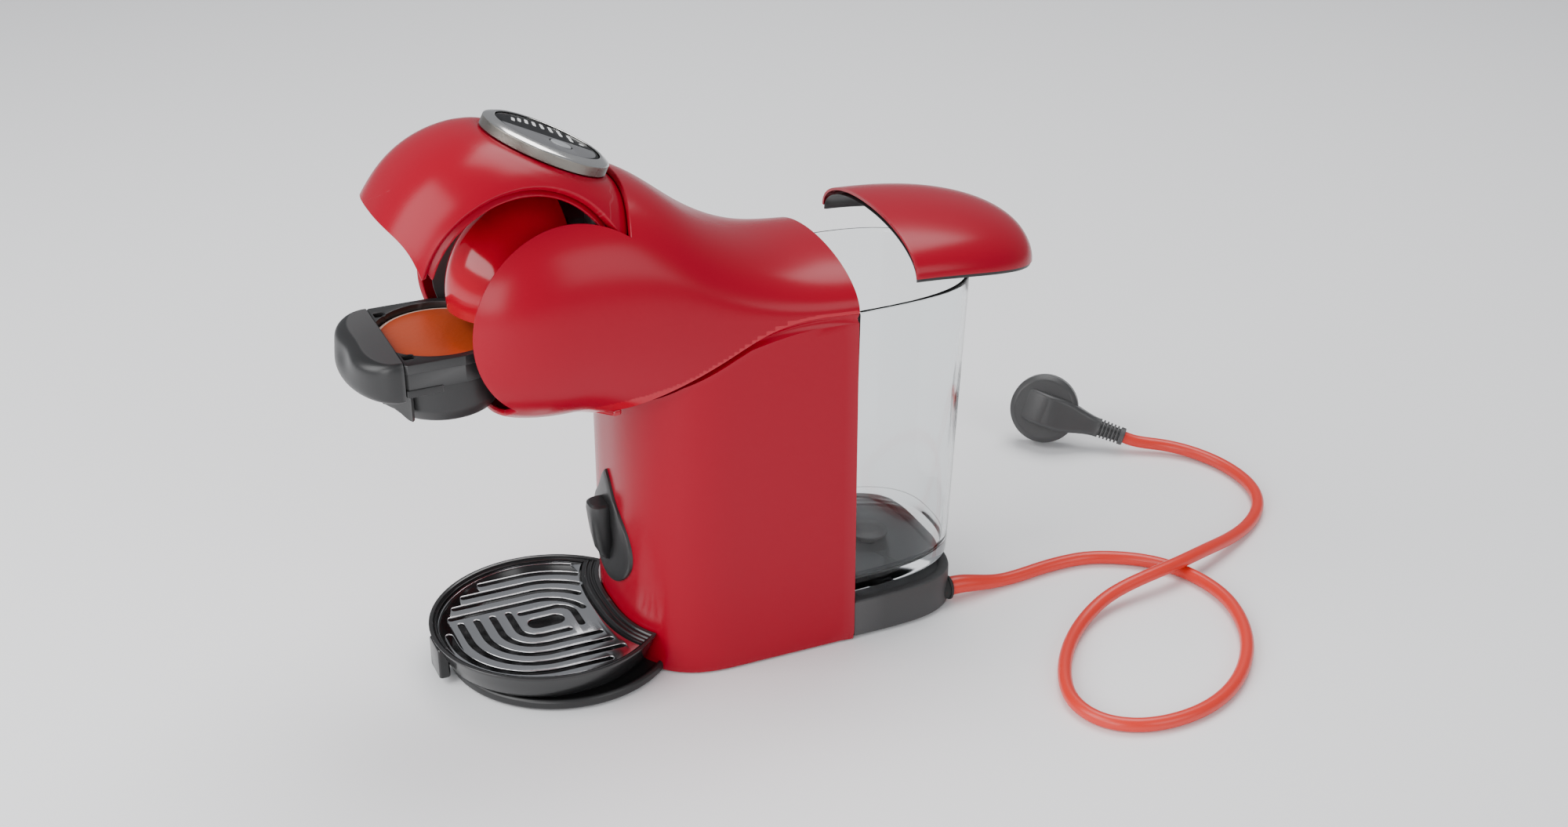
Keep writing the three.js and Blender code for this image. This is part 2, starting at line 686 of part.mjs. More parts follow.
// ---- drip tray, grate, foot and hook --------------------------------------------------------
function buildTray() {
  const T = TRAY;
  const keepOff = (gap, depth) => prism(bodyOutline(-gap, 0), -10, depth);
  const bowl = rod("z", 0, T.y, T.floor, T.rimTop, 52.4, 64, T.rim);
  const inside = rod("z", 0, T.y, T.floor + 2.2, T.rimTop + 0.02, 50.2, 64, 56.4);
  const ledge = rod("z", 0, T.y, T.grateTop - 1.5, T.rimTop + 5, T.grate + 0.5, 64);
  const rearWall = keepOff(9.4, 40);
  const hollow = cut(inside, rearWall);
  const tab = cut(box(-8, 8, -203.6, -198.4, 3.4, 20), rod("z", 0, T.y, 0, 30, 54.6, 48));
  const bowlWithTab = join(bowl, tab);
  const seat = cut(ledge, keepOff(9.9, 60));
  add("drip_tray", cut(bowlWithTab, hollow, seat, keepOff(0.8, 60)), BLACK());
  add("drip_grate", grate(), STEEL());
}

// Slots follow two families of quarter turns that share one pitch.
function grate() {
  const T = TRAY;
  const disc = cut(
    rod("z", 0, T.y, T.grateTop - 1.2, T.grateTop, T.grate, 64),
    prism(bodyOutline(-10.4, 0), 0, 60),
  );
  const centre = { x: 4.7, upper: -146, lower: -152 };
  const slotWidth = 3.4;
  const behind = prism(bodyOutline(-13.6, 0), 0, 60);
  const rim = cut(rod("z", 0, T.y, 0, 60, T.grate - 3.4, 64), behind);
  const band = (cy, r) =>
    cut(
      rod("z", centre.x, cy, 0, 60, r + slotWidth / 2, 32),
      rod("z", centre.x, cy, -1, 61, r - slotWidth / 2, 32),
    );
  const slots = [];
  for (let i = 0; i < 4; i++) {
    const r = 21 + 8.3 * i;
    const top = band(centre.upper, r).intersect(box(-60, 2.5 - 9 * i, centre.upper, 0, 0, 60));
    const left = centre.x - r - slotWidth / 2;
    const leg = box(left, left + slotWidth, -188, centre.upper + 0.01, 0, 60);
    slots.push(join(top, leg));
  }
  for (let i = 0; i < 5; i++) {
    const r = 10 + 8.2 * i;
    const turn = band(centre.lower, r).intersect(box(centre.x, 80, -260, centre.lower, 0, 60));
    const front = centre.lower - r - slotWidth / 2;
    const right = centre.x + r - slotWidth / 2;
    const flat = box(-10.3, centre.x + 0.01, front, front + slotWidth, 0, 60);
    const up = box(right, right + slotWidth, centre.lower - 0.01, i ? -60 : -137, 0, 60);
    slots.push(join(turn, flat, up));
  }
  const inner = join(
    band(centre.upper + 8, 12.6).intersect(box(-60, 18, centre.upper + 8, 0, 0, 60)),
    box(-9.6, -6.2, -156, centre.upper + 8.01, 0, 60),
  ).intersect(box(-60, 13, -160, -100, 0, 60));
  const hole = join(
    box(-0.9, 7.3, -151.5, -141, 0, 60),
    rod("z", 3.2, -141, 0, 60, 4.1, 20),
    rod("z", 3.2, -151.5, 0, 60, 4.1, 20),
  );
  return cut(disc, ...slots.map((s) => s.intersect(rim)), inner, hole);
}

function buildFoot() {
  const F = FOOT;
  const disc = rod("z", 0, F.y, F.bottom, F.top, F.radius, 64);
  const dish = rod("z", 0, F.y, F.top - 2.2, 20, F.radius - 2.4, 64);
  add("front_foot", cut(disc, dish, prism(bodyOutline(-0.4, 0), -10, 60)), BLACK());
  for (const [name, x, y] of [
    ["foot_pad_front_left", -24, -176],
    ["foot_pad_front_right", 24, -176],
    ["foot_pad_rear_left", -36, 34],
    ["foot_pad_rear_right", 36, 34],
  ])
    add(name, rod("z", x, y, 0, y > 0 ? 0.9 : 0.7, 7, 20), RUBBER());
}

function buildHook() {
  const tear = [
    [97, 0.5],
    [93, 3.7],
    [85, 9],
    [77, 16.5],
    [69, 22.5],
    [61, 25.2],
    [53, 24.6],
    [45, 19.5],
    [39, 11],
    [36.6, 3],
  ];
  const outline = [
    ...tear.map(([z, x]) => new THREE.Vector2(x, z)),
    ...[...tear].reverse().map(([z, x]) => new THREE.Vector2(-x, z)),
  ];
  const shape = new THREE.ExtrudeGeometry(new THREE.Shape(outline), { depth: 60, bevelEnabled: false });
  const drawn = solid(shape.rotateX(Math.PI / 2).translate(0, -80, 0));
  const skin = cut(prism(bodyOutline(-1.9, 0), 20, 110), prism(bodyOutline(-GAP, 0), 10, 120));
  const slot = box(-4.5, 4.5, -140, -90, 46, 72);
  add("hook_panel", cut(skin.intersect(drawn), slot), BLACK());
  const hook = sidePrism(
    [
      [-106, 48],
      [-119, 52],
      [-120.5, 70],
      [-121, 79.5],
      [-118.5, 79.5],
      [-116.5, 71],
      [-106, 70],
    ]
      .reverse()
      .map(([y, z]) => new THREE.Vector2(y, z)),
    -4.1,
    4.1,
  );
  add("tray_hook", hook, BLACK());
}

// ---- what the body holds --------------------------------------------------------------------
function buildInside() {
  const floor = box(-34, 34, -92, -8, 4.8, 7.2);
  const sideLeft = box(-34, -31.6, -92, -8, 7, 120);
  const sideRight = box(31.6, 34, -92, -8, 7, 120);
  add("chassis", join(floor, sideLeft, sideRight), DARK());
  add("pump_body", join(rod("y", 0, 30, -80, -36, 19, 24), rod("y", 0, 30, -36.5, -20, 9, 16)), STEEL());
  add("pump_mount", box(-24, 24, -86, -82, 7.6, 54), RUBBER());
  const heater = join(rod("z", 0, -56, 66, 112, 26, 28), rod("z", 0, -56, 60, 67, 12, 16));
  add("thermoblock", heater, finish(0xb5b7b8, 0.4, 0.8));
  add("flow_meter", rod("z", 0, -18, 52, 64, 9, 20), finish(0xd8d8d6, 0.5));
  add("control_board", box(-28, 28, -10, -8.4, 70, 132), finish(0x1f5a34, 0.6));
  const path = new THREE.CatmullRomCurve3(
    [
      [0, -62, 112.5],
      [0, -64, 128],
      [0, -78, 156],
      [0, -98, 182],
      [0, -108, 200],
    ].map((p) => new THREE.Vector3(...p)),
  );
  const section = new THREE.Shape(circleOutline(0, 0, 2, 8));
  const tube = new THREE.ExtrudeGeometry(section, { steps: 14, extrudePath: path, bevelEnabled: false });
  add("hot_water_tube", solid(tube), finish(0xe6e2d8, 0.4));
}

// ---- mains cord -----------------------------------------------------------------------------
// The route on the table, from the machine to the plug; it crosses over itself once.
const CORD_ROUTE = [
  [38, 58.6, 8],
  [38.1, 66, 7.9],
  [38.4, 76, 6.7],
  [38.3, 88, 4.6],
  [37.6, 101, 3.7],
  [35.8, 117, 3.7],
  [35, 132, 3.7],
  [36.6, 147, 3.7],
  [42.5, 161, 3.7],
  [52, 174, 3.7],
  [66, 184.5, 3.7],
  [82, 190.2, 3.7],
  [100, 191.6, 3.7],
  [119, 187.6, 3.7],
  [138, 179, 3.7],
  [156, 165.5, 3.7],
  [171, 148, 3.7],
  [180.6, 128, 3.7],
  [183.6, 108, 3.7],
  [180.4, 89.5, 3.7],
  [170.4, 76, 3.7],
  [153.5, 70.8, 3.7],
  [132, 76.8, 3.7],
  [110.5, 91, 3.7],
  [91.5, 111, 4.4],
  [80, 133.5, 7.6],
  [75.6, 157, 10.4],
  [71.5, 180, 11.2],
  [63.5, 204, 9.6],
  [52, 229, 5.6],
  [40, 249, 3.8],
  [26.5, 263.5, 3.7],
  [9, 272.5, 3.7],
  [-9, 274.8, 3.7],
  [-26, 272.2, 3.9],
  [-42, 264.6, 4.6],
  [-55, 251.8, 5.8],
  [-65.4, 236.2, 8],
];

// The moulded plug: a disc lying almost on edge, its cord side resting on the table.
const PLUG = {
  centre: [-97.6, 197.3, 21.5],
  toCord: [0.622, 0.742, -0.252],
  back: [0.79, -0.52, 0.36],
  disc: 20,
  depth: 15,
  reach: 49.6,
};

// Plug pieces are drawn about the disc's middle: cord along +X, pins along -Z.
function onPlug(made) {
  const toCord = new THREE.Vector3(...PLUG.toCord).normalize();
  const across = new THREE.Vector3(...PLUG.back).cross(toCord).normalize();
  const back = new THREE.Vector3().crossVectors(toCord, across);
  const place = new THREE.Matrix4().makeBasis(toCord, across, back).setPosition(...PLUG.centre);
  return made.transform(place.elements);
}

function buildPlug() {
  const half = PLUG.depth / 2;
  const disc = rod("z", 0, 0, -half, half - 1.5, PLUG.disc, 40);
  const bevel = rod("z", 0, 0, half - 1.5, half, PLUG.disc, 40, PLUG.disc - 1.5);
  const hump = loft([
    humpRing(-9, 8.5, half - 1, half + 5),
    humpRing(6, 9.5, -half + 2, half + 7),
    humpRing(20, 8.6, -half + 3, half + 4),
    humpRing(33, 5.6, -4.8, 5.6),
  ]);
  const pinHoles = join(
    rod("z", 0, 9.5, -20, -half + 4, 2.4 + 0.02, 14),
    rod("z", 0, -9.5, -20, -half + 4, 2.4 + 0.02, 14),
  );
  add("plug_body", onPlug(cut(join(disc, bevel, hump), pinHoles)), DARK());
  const bore = rod("x", 0, 0, 36, 80, CORD.radius + 0.15, 12);
  const relief = cut(rod("x", 0, 0, 33.3, PLUG.reach, 5.6, 16, 5), bore);
  add("plug_relief", onPlug(relief), RUBBER());
  for (const [name, side] of [
    ["plug_pin_a", 1],
    ["plug_pin_b", -1],
  ])
    add(name, onPlug(rod("z", 0, 9.5 * side, -half - 19, -half + 3.7, 2.4, 14)), STEEL());
}

function humpRing(x, half, low, high) {
  const outline = [
    [-half, low],
    [half, low],
    [half, high - 2],
    [half - 2, high],
    [-half + 2, high],
    [-half, high - 2],
  ];
  return outline.map(([y, z]) => new THREE.Vector3(x, y, z));
}

function buildCord() {
  const points = CORD_ROUTE.map(([x, y, z]) => new THREE.Vector3(x, y, z + 0.1));
  const path = new THREE.CatmullRomCurve3(points, false, "centripetal");
  const section = new THREE.Shape(circleOutline(0, 0, CORD.radius, 8));
  const tube = new THREE.ExtrudeGeometry(section, { steps: 72, extrudePath: path, bevelEnabled: false });
  add("mains_cord", solid(tube), CORD_RED());
}

buildBody();
buildHead();
buildHeadInside();
buildInjector();
buildHandle();
buildHolder();
buildTank();
buildLid();
buildPlatform();
buildTray();
buildFoot();
buildHook();
buildInside();
buildCord();
buildPlug();

export default machine;
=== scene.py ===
"""A pod coffee machine, standing open on a pale table: handle raised, pod holder pulled out, tank
lid lifted off, mains cord laid behind it.

Every surface is worked out here in millimetres, in the frame where the rear wall of the body is
the plane y = 0, the table is z = 0 and the user stands at -Y. mesh_piece() moves it to the row
frame and to metres.
"""

import math

import bpy
import numpy as np
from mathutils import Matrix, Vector
from mathutils.geometry import tessellate_polygon


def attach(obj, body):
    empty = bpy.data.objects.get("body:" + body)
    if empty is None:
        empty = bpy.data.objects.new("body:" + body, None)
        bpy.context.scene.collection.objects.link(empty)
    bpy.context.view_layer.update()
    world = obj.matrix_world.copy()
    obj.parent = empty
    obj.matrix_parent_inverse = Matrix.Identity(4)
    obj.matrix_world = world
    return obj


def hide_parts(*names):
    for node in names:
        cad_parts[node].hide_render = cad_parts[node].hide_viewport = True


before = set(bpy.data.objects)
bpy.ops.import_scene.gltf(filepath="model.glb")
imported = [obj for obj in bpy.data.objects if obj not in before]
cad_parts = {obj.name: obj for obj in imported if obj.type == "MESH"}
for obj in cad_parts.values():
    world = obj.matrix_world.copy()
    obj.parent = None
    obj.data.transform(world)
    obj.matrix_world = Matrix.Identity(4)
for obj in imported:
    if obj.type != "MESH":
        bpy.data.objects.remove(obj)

bl_info = {
    "name": "Pod coffee machine",
    "version": (1, 0, 0),
    "blender": (4, 5, 0),
    "location": "View3D > Sidebar > Pod machine",
    "description": "Builds a pod coffee machine, piece by piece",
    "category": "Add Mesh",
}

SHIFT = 62.0
MM = 0.001
BALL_Y, BALL_Z = -137.5, 197.0
BALL_FRONT, BALL_UP, BALL_DOWN, BALL_HALF = 66.5, 62.0, 56.0, 57.0
CHEEK_RADIUS = 47.5
PIVOT_Y, PIVOT_Z, SWING = -117.5, 239.5, math.radians(35.5)
NECK_EDGE, NECK_DIP = -102.0, 7.0
BODY_HALF, BODY_STRAIGHT, BODY_NOSE, BODY_POWER = 53.2, 63.0, 47.0, 2.6
DIAL_Y, DIAL_Z, DIAL_TILT = -146.7, 251.2, math.radians(9.3)
DIAL_RING, DIAL_GLASS = 30.5, 25.0
POD_Y, POD_TOP, POD_RIM = -188.5, 185.3, 29.6
TRAY_Y = -144.7


# ---- settings ------------------------------------------------------------------------------------
class PodMachineSettings(bpy.types.PropertyGroup):
    """What a user may change before building."""

    fineness: bpy.props.FloatProperty(
        name="Fineness", default=1.0, min=0.3, max=1.5, description="Mesh density, 1 is normal"
    )
    wear: bpy.props.FloatProperty(
        name="Wear", default=0.5, min=0.0, max=1.0, description="How much edges and floors are worn"
    )
    cord_diameter: bpy.props.FloatProperty(
        name="Cord diameter", default=0.007, min=0.005, max=0.009, unit="LENGTH"
    )


def settings():
    """The scene's settings for this add-on."""
    return bpy.context.scene.pod_machine


def fine(count):
    """A sample count scaled by the fineness setting."""
    return max(8, int(round(count * settings().fineness)))


# ---- numbers and curves ------------------------------------------------------------------------
def smooth(t):
    """A smooth step from 0 to 1."""
    t = np.clip(t, 0.0, 1.0)
    return t * t * (3 - 2 * t)


def power(value, exponent):
    """A signed power, which makes superellipses from sines and cosines."""
    return np.sign(value) * np.abs(value) ** exponent


def spline(stations, start_flat=False):
    """A cubic with continuous curvature through hand-placed (position, value) stations."""
    x, v = np.array(stations, float).T
    n = len(x)
    h = np.diff(x)
    a = np.zeros((n, n))
    b = np.zeros(n)
    a[0, 0] = a[-1, -1] = 1
    if start_flat:
        a[0, 0], a[0, 1] = 2 * h[0], h[0]
        b[0] = 6 * (v[1] - v[0]) / h[0]
    for i in range(1, n - 1):
        a[i, i - 1], a[i, i], a[i, i + 1] = h[i - 1], 2 * (h[i - 1] + h[i]), h[i]
        b[i] = 6 * ((v[i + 1] - v[i]) / h[i] - (v[i] - v[i - 1]) / h[i - 1])
    m = np.linalg.solve(a, b)

    def value(at):
        at = np.clip(np.asarray(at, float), x[0], x[-1])
        k = np.clip(np.searchsorted(x, at, side="right") - 1, 0, n - 2)
        p, q, s = x[k + 1] - at, at - x[k], h[k]
        curve = (m[k] * p**3 + m[k + 1] * q**3) / (6 * s)
        return curve + (v[k] / s - m[k] * s / 6) * p + (v[k + 1] / s - m[k + 1] * s / 6) * q

    return value


def path_points(points, step):
    """A closed-form smooth curve through hand-placed points, resampled to an even step."""
    p = np.array(points, float)
    run = np.concatenate([[0], np.cumsum(np.linalg.norm(np.diff(p, axis=0), axis=1))])
    axes = [spline(list(zip(run, p[:, k]))) for k in range(p.shape[1])]
    dense = np.linspace(0, run[-1], 4000)
    c = np.stack([f(dense) for f in axes], 1)
    length = np.concatenate([[0], np.cumsum(np.linalg.norm(np.diff(c, axis=0), axis=1))])
    at = np.linspace(0, length[-1], max(2, int(length[-1] / step) + 1))
    return np.stack([np.interp(at, length, c[:, k]) for k in range(p.shape[1])], 1), length[-1]


# ---- meshes --------------------------------------------------------------------------------------
def grid(points, close_u=False, close_v=False):
    """Faces over an array of points in rows; either way round may be closed on itself."""
    rows, cols = points.shape[:2]
    index = np.arange(rows * cols).reshape(rows, cols)
    if close_u:
        index = np.vstack([index, index[:1]])
    if close_v:
        index = np.hstack([index, index[:, :1]])
    quads = np.stack([index[:-1, :-1], index[:-1, 1:], index[1:, 1:], index[1:, :-1]], -1)
    return points.reshape(-1, 3), [list(q) for q in quads.reshape(-1, 4).tolist()]


def joined(*parts):
    """Several (points, faces) as one."""
    points, faces, start = [], [], 0
    for p, f in parts:
        points.append(np.asarray(p, float))
        faces += [[i + start for i in face] for face in f]
        start += len(p)
    return np.concatenate(points), faces


def clip(points, faces, keep):
    """Trims a skin along the line where keep(points) changes sign, keeping the positive side.
    The new edge points are found by halving each crossed edge, so the edge is smooth."""
    points = np.array(points, float)
    value = keep(points)
    arrays = np.array([(f[i], f[(i + 1) % len(f)]) for f in faces for i in range(len(f))])
    arrays = np.unique(np.sort(arrays, 1), axis=0)
    crossed = arrays[(value[arrays[:, 0]] > 0) != (value[arrays[:, 1]] > 0)]
    inside = np.where((value[crossed[:, 0]] > 0)[:, None], crossed, crossed[:, ::-1])
    a, b = points[inside[:, 0]].copy(), points[inside[:, 1]].copy()
    low, high = np.zeros(len(a)), np.ones(len(a))
    for _ in range(18):
        middle = (low + high) / 2
        good = keep(a + (b - a) * middle[:, None]) > 0
        low, high = np.where(good, middle, low), np.where(good, high, middle)
    cut = a + (b - a) * low[:, None]
    # A kept point that lies almost on the line is moved onto it, so that no sliver is left.
    replaced = {}
    near_inner = low < 0.15
    for k in np.nonzero(near_inner)[0]:
        points[inside[k, 0]] = cut[k]
        replaced[inside[k, 0]] = True
    names, extra = {}, []
    for k, (i, j) in enumerate(crossed.tolist()):
        if inside[k, 0] in replaced:
            names[(i, j)] = int(inside[k, 0])
        else:
            names[(i, j)] = len(points) + len(extra)
            extra.append(cut[k])
    result = []
    positive = value > 0
    for face in faces:
        flags = [positive[i] for i in face]
        if all(flags):
            result.append(face)
        elif any(flags):
            piece = []
            for i, j in zip(face, face[1:] + face[:1]):
                if positive[i]:
                    piece.append(i)
                if positive[i] != positive[j]:
                    piece.append(names[(i, j) if i < j else (j, i)])
            piece = [v for n, v in enumerate(piece) if v != piece[n - 1]]
            if len(set(piece)) >= 3:
                result.append(piece)
    if extra:
        points = np.concatenate([points, np.array(extra)])
    return tidy(points, result)


def tidy(points, faces):
    """Drops the points that no face uses."""
    used = np.unique(np.concatenate([np.array(f) for f in faces]))
    place = np.zeros(len(points), int)
    place[used] = np.arange(len(used))
    return points[used], [[int(place[i]) for i in f] for f in faces]


def normals_of(points, faces):
    """Point normals, weighted by face area."""
    triangles = np.array([(f[0], f[k], f[k + 1]) for f in faces for k in range(1, len(f) - 1)])
    a, b, c = points[triangles[:, 0]], points[triangles[:, 1]], points[triangles[:, 2]]
    normal = np.cross(b - a, c - a)
    total = np.zeros_like(points)
    for k in range(3):
        np.add.at(total, triangles[:, k], normal)
    return total / np.maximum(np.linalg.norm(total, axis=1), 1e-12)[:, None]


def open_edges(faces):
    """The directed edges that only one face has."""
    seen = set()
    for f in faces:
        for i, j in zip(f, f[1:] + f[:1]):
            seen.add((i, j))
    return [(i, j) for i, j in seen if (j, i) not in seen]


def thick(points, faces, wall, roll, steps=5):
    """Gives a skin its wall: the skin, the same skin moved inward by wall, and round each open edge
    half an ellipse that stands out by roll and joins the two."""
    points = np.asarray(points, float)
    n = normals_of(points, faces)
    inner = points - n * wall
    edges = open_edges(faces)
    after = {i: j for i, j in edges}
    before = {j: i for i, j in edges}
    rim = sorted(set(after) & set(before))
    tangent = np.array([points[after[i]] - points[before[i]] for i in rim])
    out = np.cross(tangent, n[rim])
    out /= np.maximum(np.linalg.norm(out, axis=1), 1e-12)[:, None]
    count = len(points)
    rows = [points, inner]
    place = [{i: i for i in rim}]
    start = 2 * count
    for k in range(1, steps):
        turn = math.pi * k / steps
        row = points[rim] - n[rim] * (wall / 2 * (1 - math.cos(turn))) + out * (roll * math.sin(turn))
        rows.append(row)
        place.append({i: start + m for m, i in enumerate(rim)})
        start += len(rim)
    place.append({i: count + i for i in rim})
    made = list(faces) + [[count + i for i in reversed(f)] for f in faces]
    for i, j in edges:
        if i in place[0] and j in place[0]:
            for a, b in zip(place[:-1], place[1:]):
                made.append([j if a is place[0] else a[j], a[i], b[i], b[j]])
    return np.concatenate(rows), made


def stack(outline, profile):
    """A solid through plan outlines. profile lists (how the outline is drawn, z) from the bottom
    to the top; a flat face closes each end."""
    rings = np.array([np.column_stack([outline(shape), np.full(len(outline(shape)), z)]) for shape, z in profile])
    points, faces = grid(rings, close_v=True)
    count = rings.shape[1]
    last = (len(rings) - 1) * count
    faces.append(list(range(count))[::-1])
    faces.append([last + i for i in range(count)])
    return points, faces


def turned(profile, sides=96, x=0.0, y=0.0):
    """A profile of (radius, z), from the axis or closed on itself, turned round a vertical axis."""
    profile = np.array(profile, float)
    angle = np.linspace(0, 2 * np.pi, sides, endpoint=False)
    ring = np.stack([np.cos(angle), np.sin(angle)], 1)
    points = np.zeros((len(profile), sides, 3))
    points[:, :, 0] = x + profile[:, 0, None] * ring[None, :, 0]
    points[:, :, 1] = y + profile[:, 0, None] * ring[None, :, 1]
    points[:, :, 2] = profile[:, 1, None]
    on_axis = profile[:, 0] < 1e-6
    flat, faces = grid(points, close_u=not (on_axis[0] or on_axis[-1]), close_v=True)
    merged = []
    for f in faces:
        piece = []
        for i in f:
            row = i // sides
            i = row * sides if on_axis[row] else i
            if i not in piece:
                piece.append(i)
        if len(piece) >= 3:
            merged.append(piece)
    return tidy(flat, merged)


def rounded_corner(profile, radius=0.5, steps=4):
    """Rounds the corners of an open profile with short arcs."""
    p = [np.array(q, float) for q in profile]
    out = [p[0]]
    for a, b, c in zip(p[:-2], p[1:-1], p[2:]):
        u, v = a - b, c - b
        lu, lv = np.linalg.norm(u), np.linalg.norm(v)
        r = min(radius, 0.45 * lu, 0.45 * lv)
        if r < 1e-4:
            out.append(b)
            continue
        start, end = b + u / lu * r, b + v / lv * r
        for k in range(steps + 1):
            t = k / steps
            out.append((1 - t) ** 2 * start + 2 * t * (1 - t) * b + t * t * end)
    out.append(p[-1])
    return out


def tube(centre, radius, sides=16, ends=True):
    """A round tube along a centreline, with radius a number or one for each point."""
    c = np.asarray(centre, float)
    r = np.broadcast_to(np.asarray(radius, float), (len(c),))
    t = np.gradient(c, axis=0)
    t /= np.linalg.norm(t, axis=1)[:, None]
    side = np.cross(t[0], [0, 0, 1.0])
    side = side / np.linalg.norm(side) if np.linalg.norm(side) > 1e-6 else np.array([1.0, 0, 0])
    frames = []
    for d in t:
        side = side - d * np.dot(side, d)
        side /= np.linalg.norm(side)
        frames.append((side.copy(), np.cross(side, d)))
    angle = np.linspace(0, 2 * np.pi, sides, endpoint=False)
    rings = np.array(
        [p + q * (np.outer(np.cos(angle), u) + np.outer(np.sin(angle), v)) for p, q, (u, v) in zip(c, r, frames)]
    )
    points, faces = grid(rings, close_v=True)
    if ends:
        count, last = sides, (len(c) - 1) * sides
        faces.append(list(range(count))[::-1])
        faces.append([last + i for i in range(count)])
    return outward(points, faces)


def outward(points, faces):
    """Turns a closed skin's faces to look out."""
    triangles = np.array([(f[0], f[k], f[k + 1]) for f in faces for k in range(1, len(f) - 1)])
    a, b, c = points[triangles[:, 0]], points[triangles[:, 1]], points[triangles[:, 2]]
    if np.einsum("ij,ij->i", a, np.cross(b, c)).sum() < 0:
        faces = [f[::-1] for f in faces]
    return points, faces


def block(x0, x1, y0, y1, z0, z1, soft=0.8):
    """A box with rounded edges."""
    def plan(inset):
        return rounded_rectangle((x0 + x1) / 2, (y0 + y1) / 2, (x1 - x0) / 2 - inset, (y1 - y0) / 2 - inset, soft)

    return stack(plan, edge_profile(z0, z1, soft))


def rounded_rectangle(cx, cy, a, b, radius, steps=5):
    """A plan rectangle of half sizes a and b with round corners."""
    radius = min(radius, 0.98 * a, 0.98 * b)
    points = []
    for sx, sy, start in ((1, 1, 0), (-1, 1, 90), (-1, -1, 180), (1, -1, 270)):
        for k in range(steps + 1):
            turn = math.radians(start + 90 * k / steps)
            points.append((cx + sx * (a - radius) + radius * math.cos(turn), cy + sy * (b - radius) + radius * math.sin(turn)))
    return np.array(points)


def edge_profile(z0, z1, soft, steps=4):
    """(inset, z) from z0 to z1 with both edges rounded."""
    turns = [math.pi / 2 * k / steps for k in range(steps + 1)]
    low = [(soft * (1 - math.sin(t)), z0 + soft * (1 - math.cos(t))) for t in turns]
    high = [(soft * (1 - math.cos(t)), z1 - soft * (1 - math.sin(t))) for t in turns]
    return low + high


def place(points, matrix, at):
    """Points turned by a 3 by 3 matrix whose columns are the new axes, then moved."""
    return np.asarray(points, float) @ np.array(matrix, float).T + np.array(at, float)


def about_x(points, angle, y=0.0, z=0.0):
    """Points turned about an axis along X through (y, z)."""
    p = np.array(points, float)
    c, s = math.cos(angle), math.sin(angle)
    dy, dz = p[:, 1] - y, p[:, 2] - z
    p[:, 1], p[:, 2] = y + dy * c - dz * s, z + dy * s + dz * c
    return p


def raised(points):
    """From the closed handle to the raised one."""
    return about_x(points, -SWING, PIVOT_Y, PIVOT_Z)


def mesh_piece(name, parts, body, material, nodes=(), sharp=32.0):
    """Makes one object from (points, faces) in millimetres, riding on a CAD body and standing for
    CAD nodes. Edges steeper than sharp degrees stay crisp."""
    points, faces = parts
    points = (np.asarray(points, float) + [0, SHIFT, 0]) * MM
    mesh = bpy.data.meshes.new(name)
    mesh.from_pydata(points.tolist(), [], faces)
    mesh.polygons.foreach_set("use_smooth", [True] * len(mesh.polygons))
    mesh.set_sharp_from_angle(angle=math.radians(sharp))
    mesh.update()
    made = bpy.data.objects.new(name, mesh)
    bpy.context.scene.collection.objects.link(made)
    made.data.materials.append(material)
    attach(made, body)
    if nodes:
        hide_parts(*nodes)
    return made


# ---- the head's form ------------------------------------------------------------------------------
TOP_LINE = spline([(-137.5, 259), (-108, 254), (-88, 243.5), (-68, 228), (-48, 215.5), (-27, 207.5), (0, 203.5)], True)
WIDTH_LINE = spline([(-137.5, 57), (-100, 56), (-60, 53.8), (-25, 53.2), (0, 53.2)], True)
MIDDLE_LINE = spline([(-137.5, 197), (-100, 196), (-70, 190), (-40, 185), (0, 182)], True)
BELLY_LINE = spline([(-137.5, 141), (-110, 131), (-86, 118), (-60, 104), (0, 90)], True)
SEAM_LINE = spline(
    [(-140, 141), (-125, 146), (-110, 152), (-86, 162), (-67, 170.5), (-45, 180), (-25, 183), (0, 181.5)]
)
CREASE_LINE = spline(
    [(-121, 137), (-114, 140), (-108, 144.5), (-90, 157), (-68, 169), (-46, 175), (-27, 177.5), (0, 176.5)]
)


def head_sizes(y):
    """Half width, top, middle height, underside and roundness of the head at y."""
    y = np.asarray(y, float)
    share = np.clip((BALL_Y - y) / BALL_FRONT, 0, 1)
    ahead = y < BALL_Y
    half = np.where(ahead, BALL_HALF * (1 - share**2.5) ** 0.4, WIDTH_LINE(y))
    top = np.where(ahead, BALL_Z + BALL_UP * (1 - share**2.1) ** (1 / 2.1), TOP_LINE(y))
    middle = np.where(ahead, BALL_Z, MIDDLE_LINE(y))
    belly = np.where(ahead, BALL_Z - BALL_DOWN * (1 - share**2.3) ** (1 / 2.3), BELLY_LINE(y))
    roundness = 2.3 - 0.3 * smooth((y + 90) / 80)
    return half, top, middle, belly, roundness


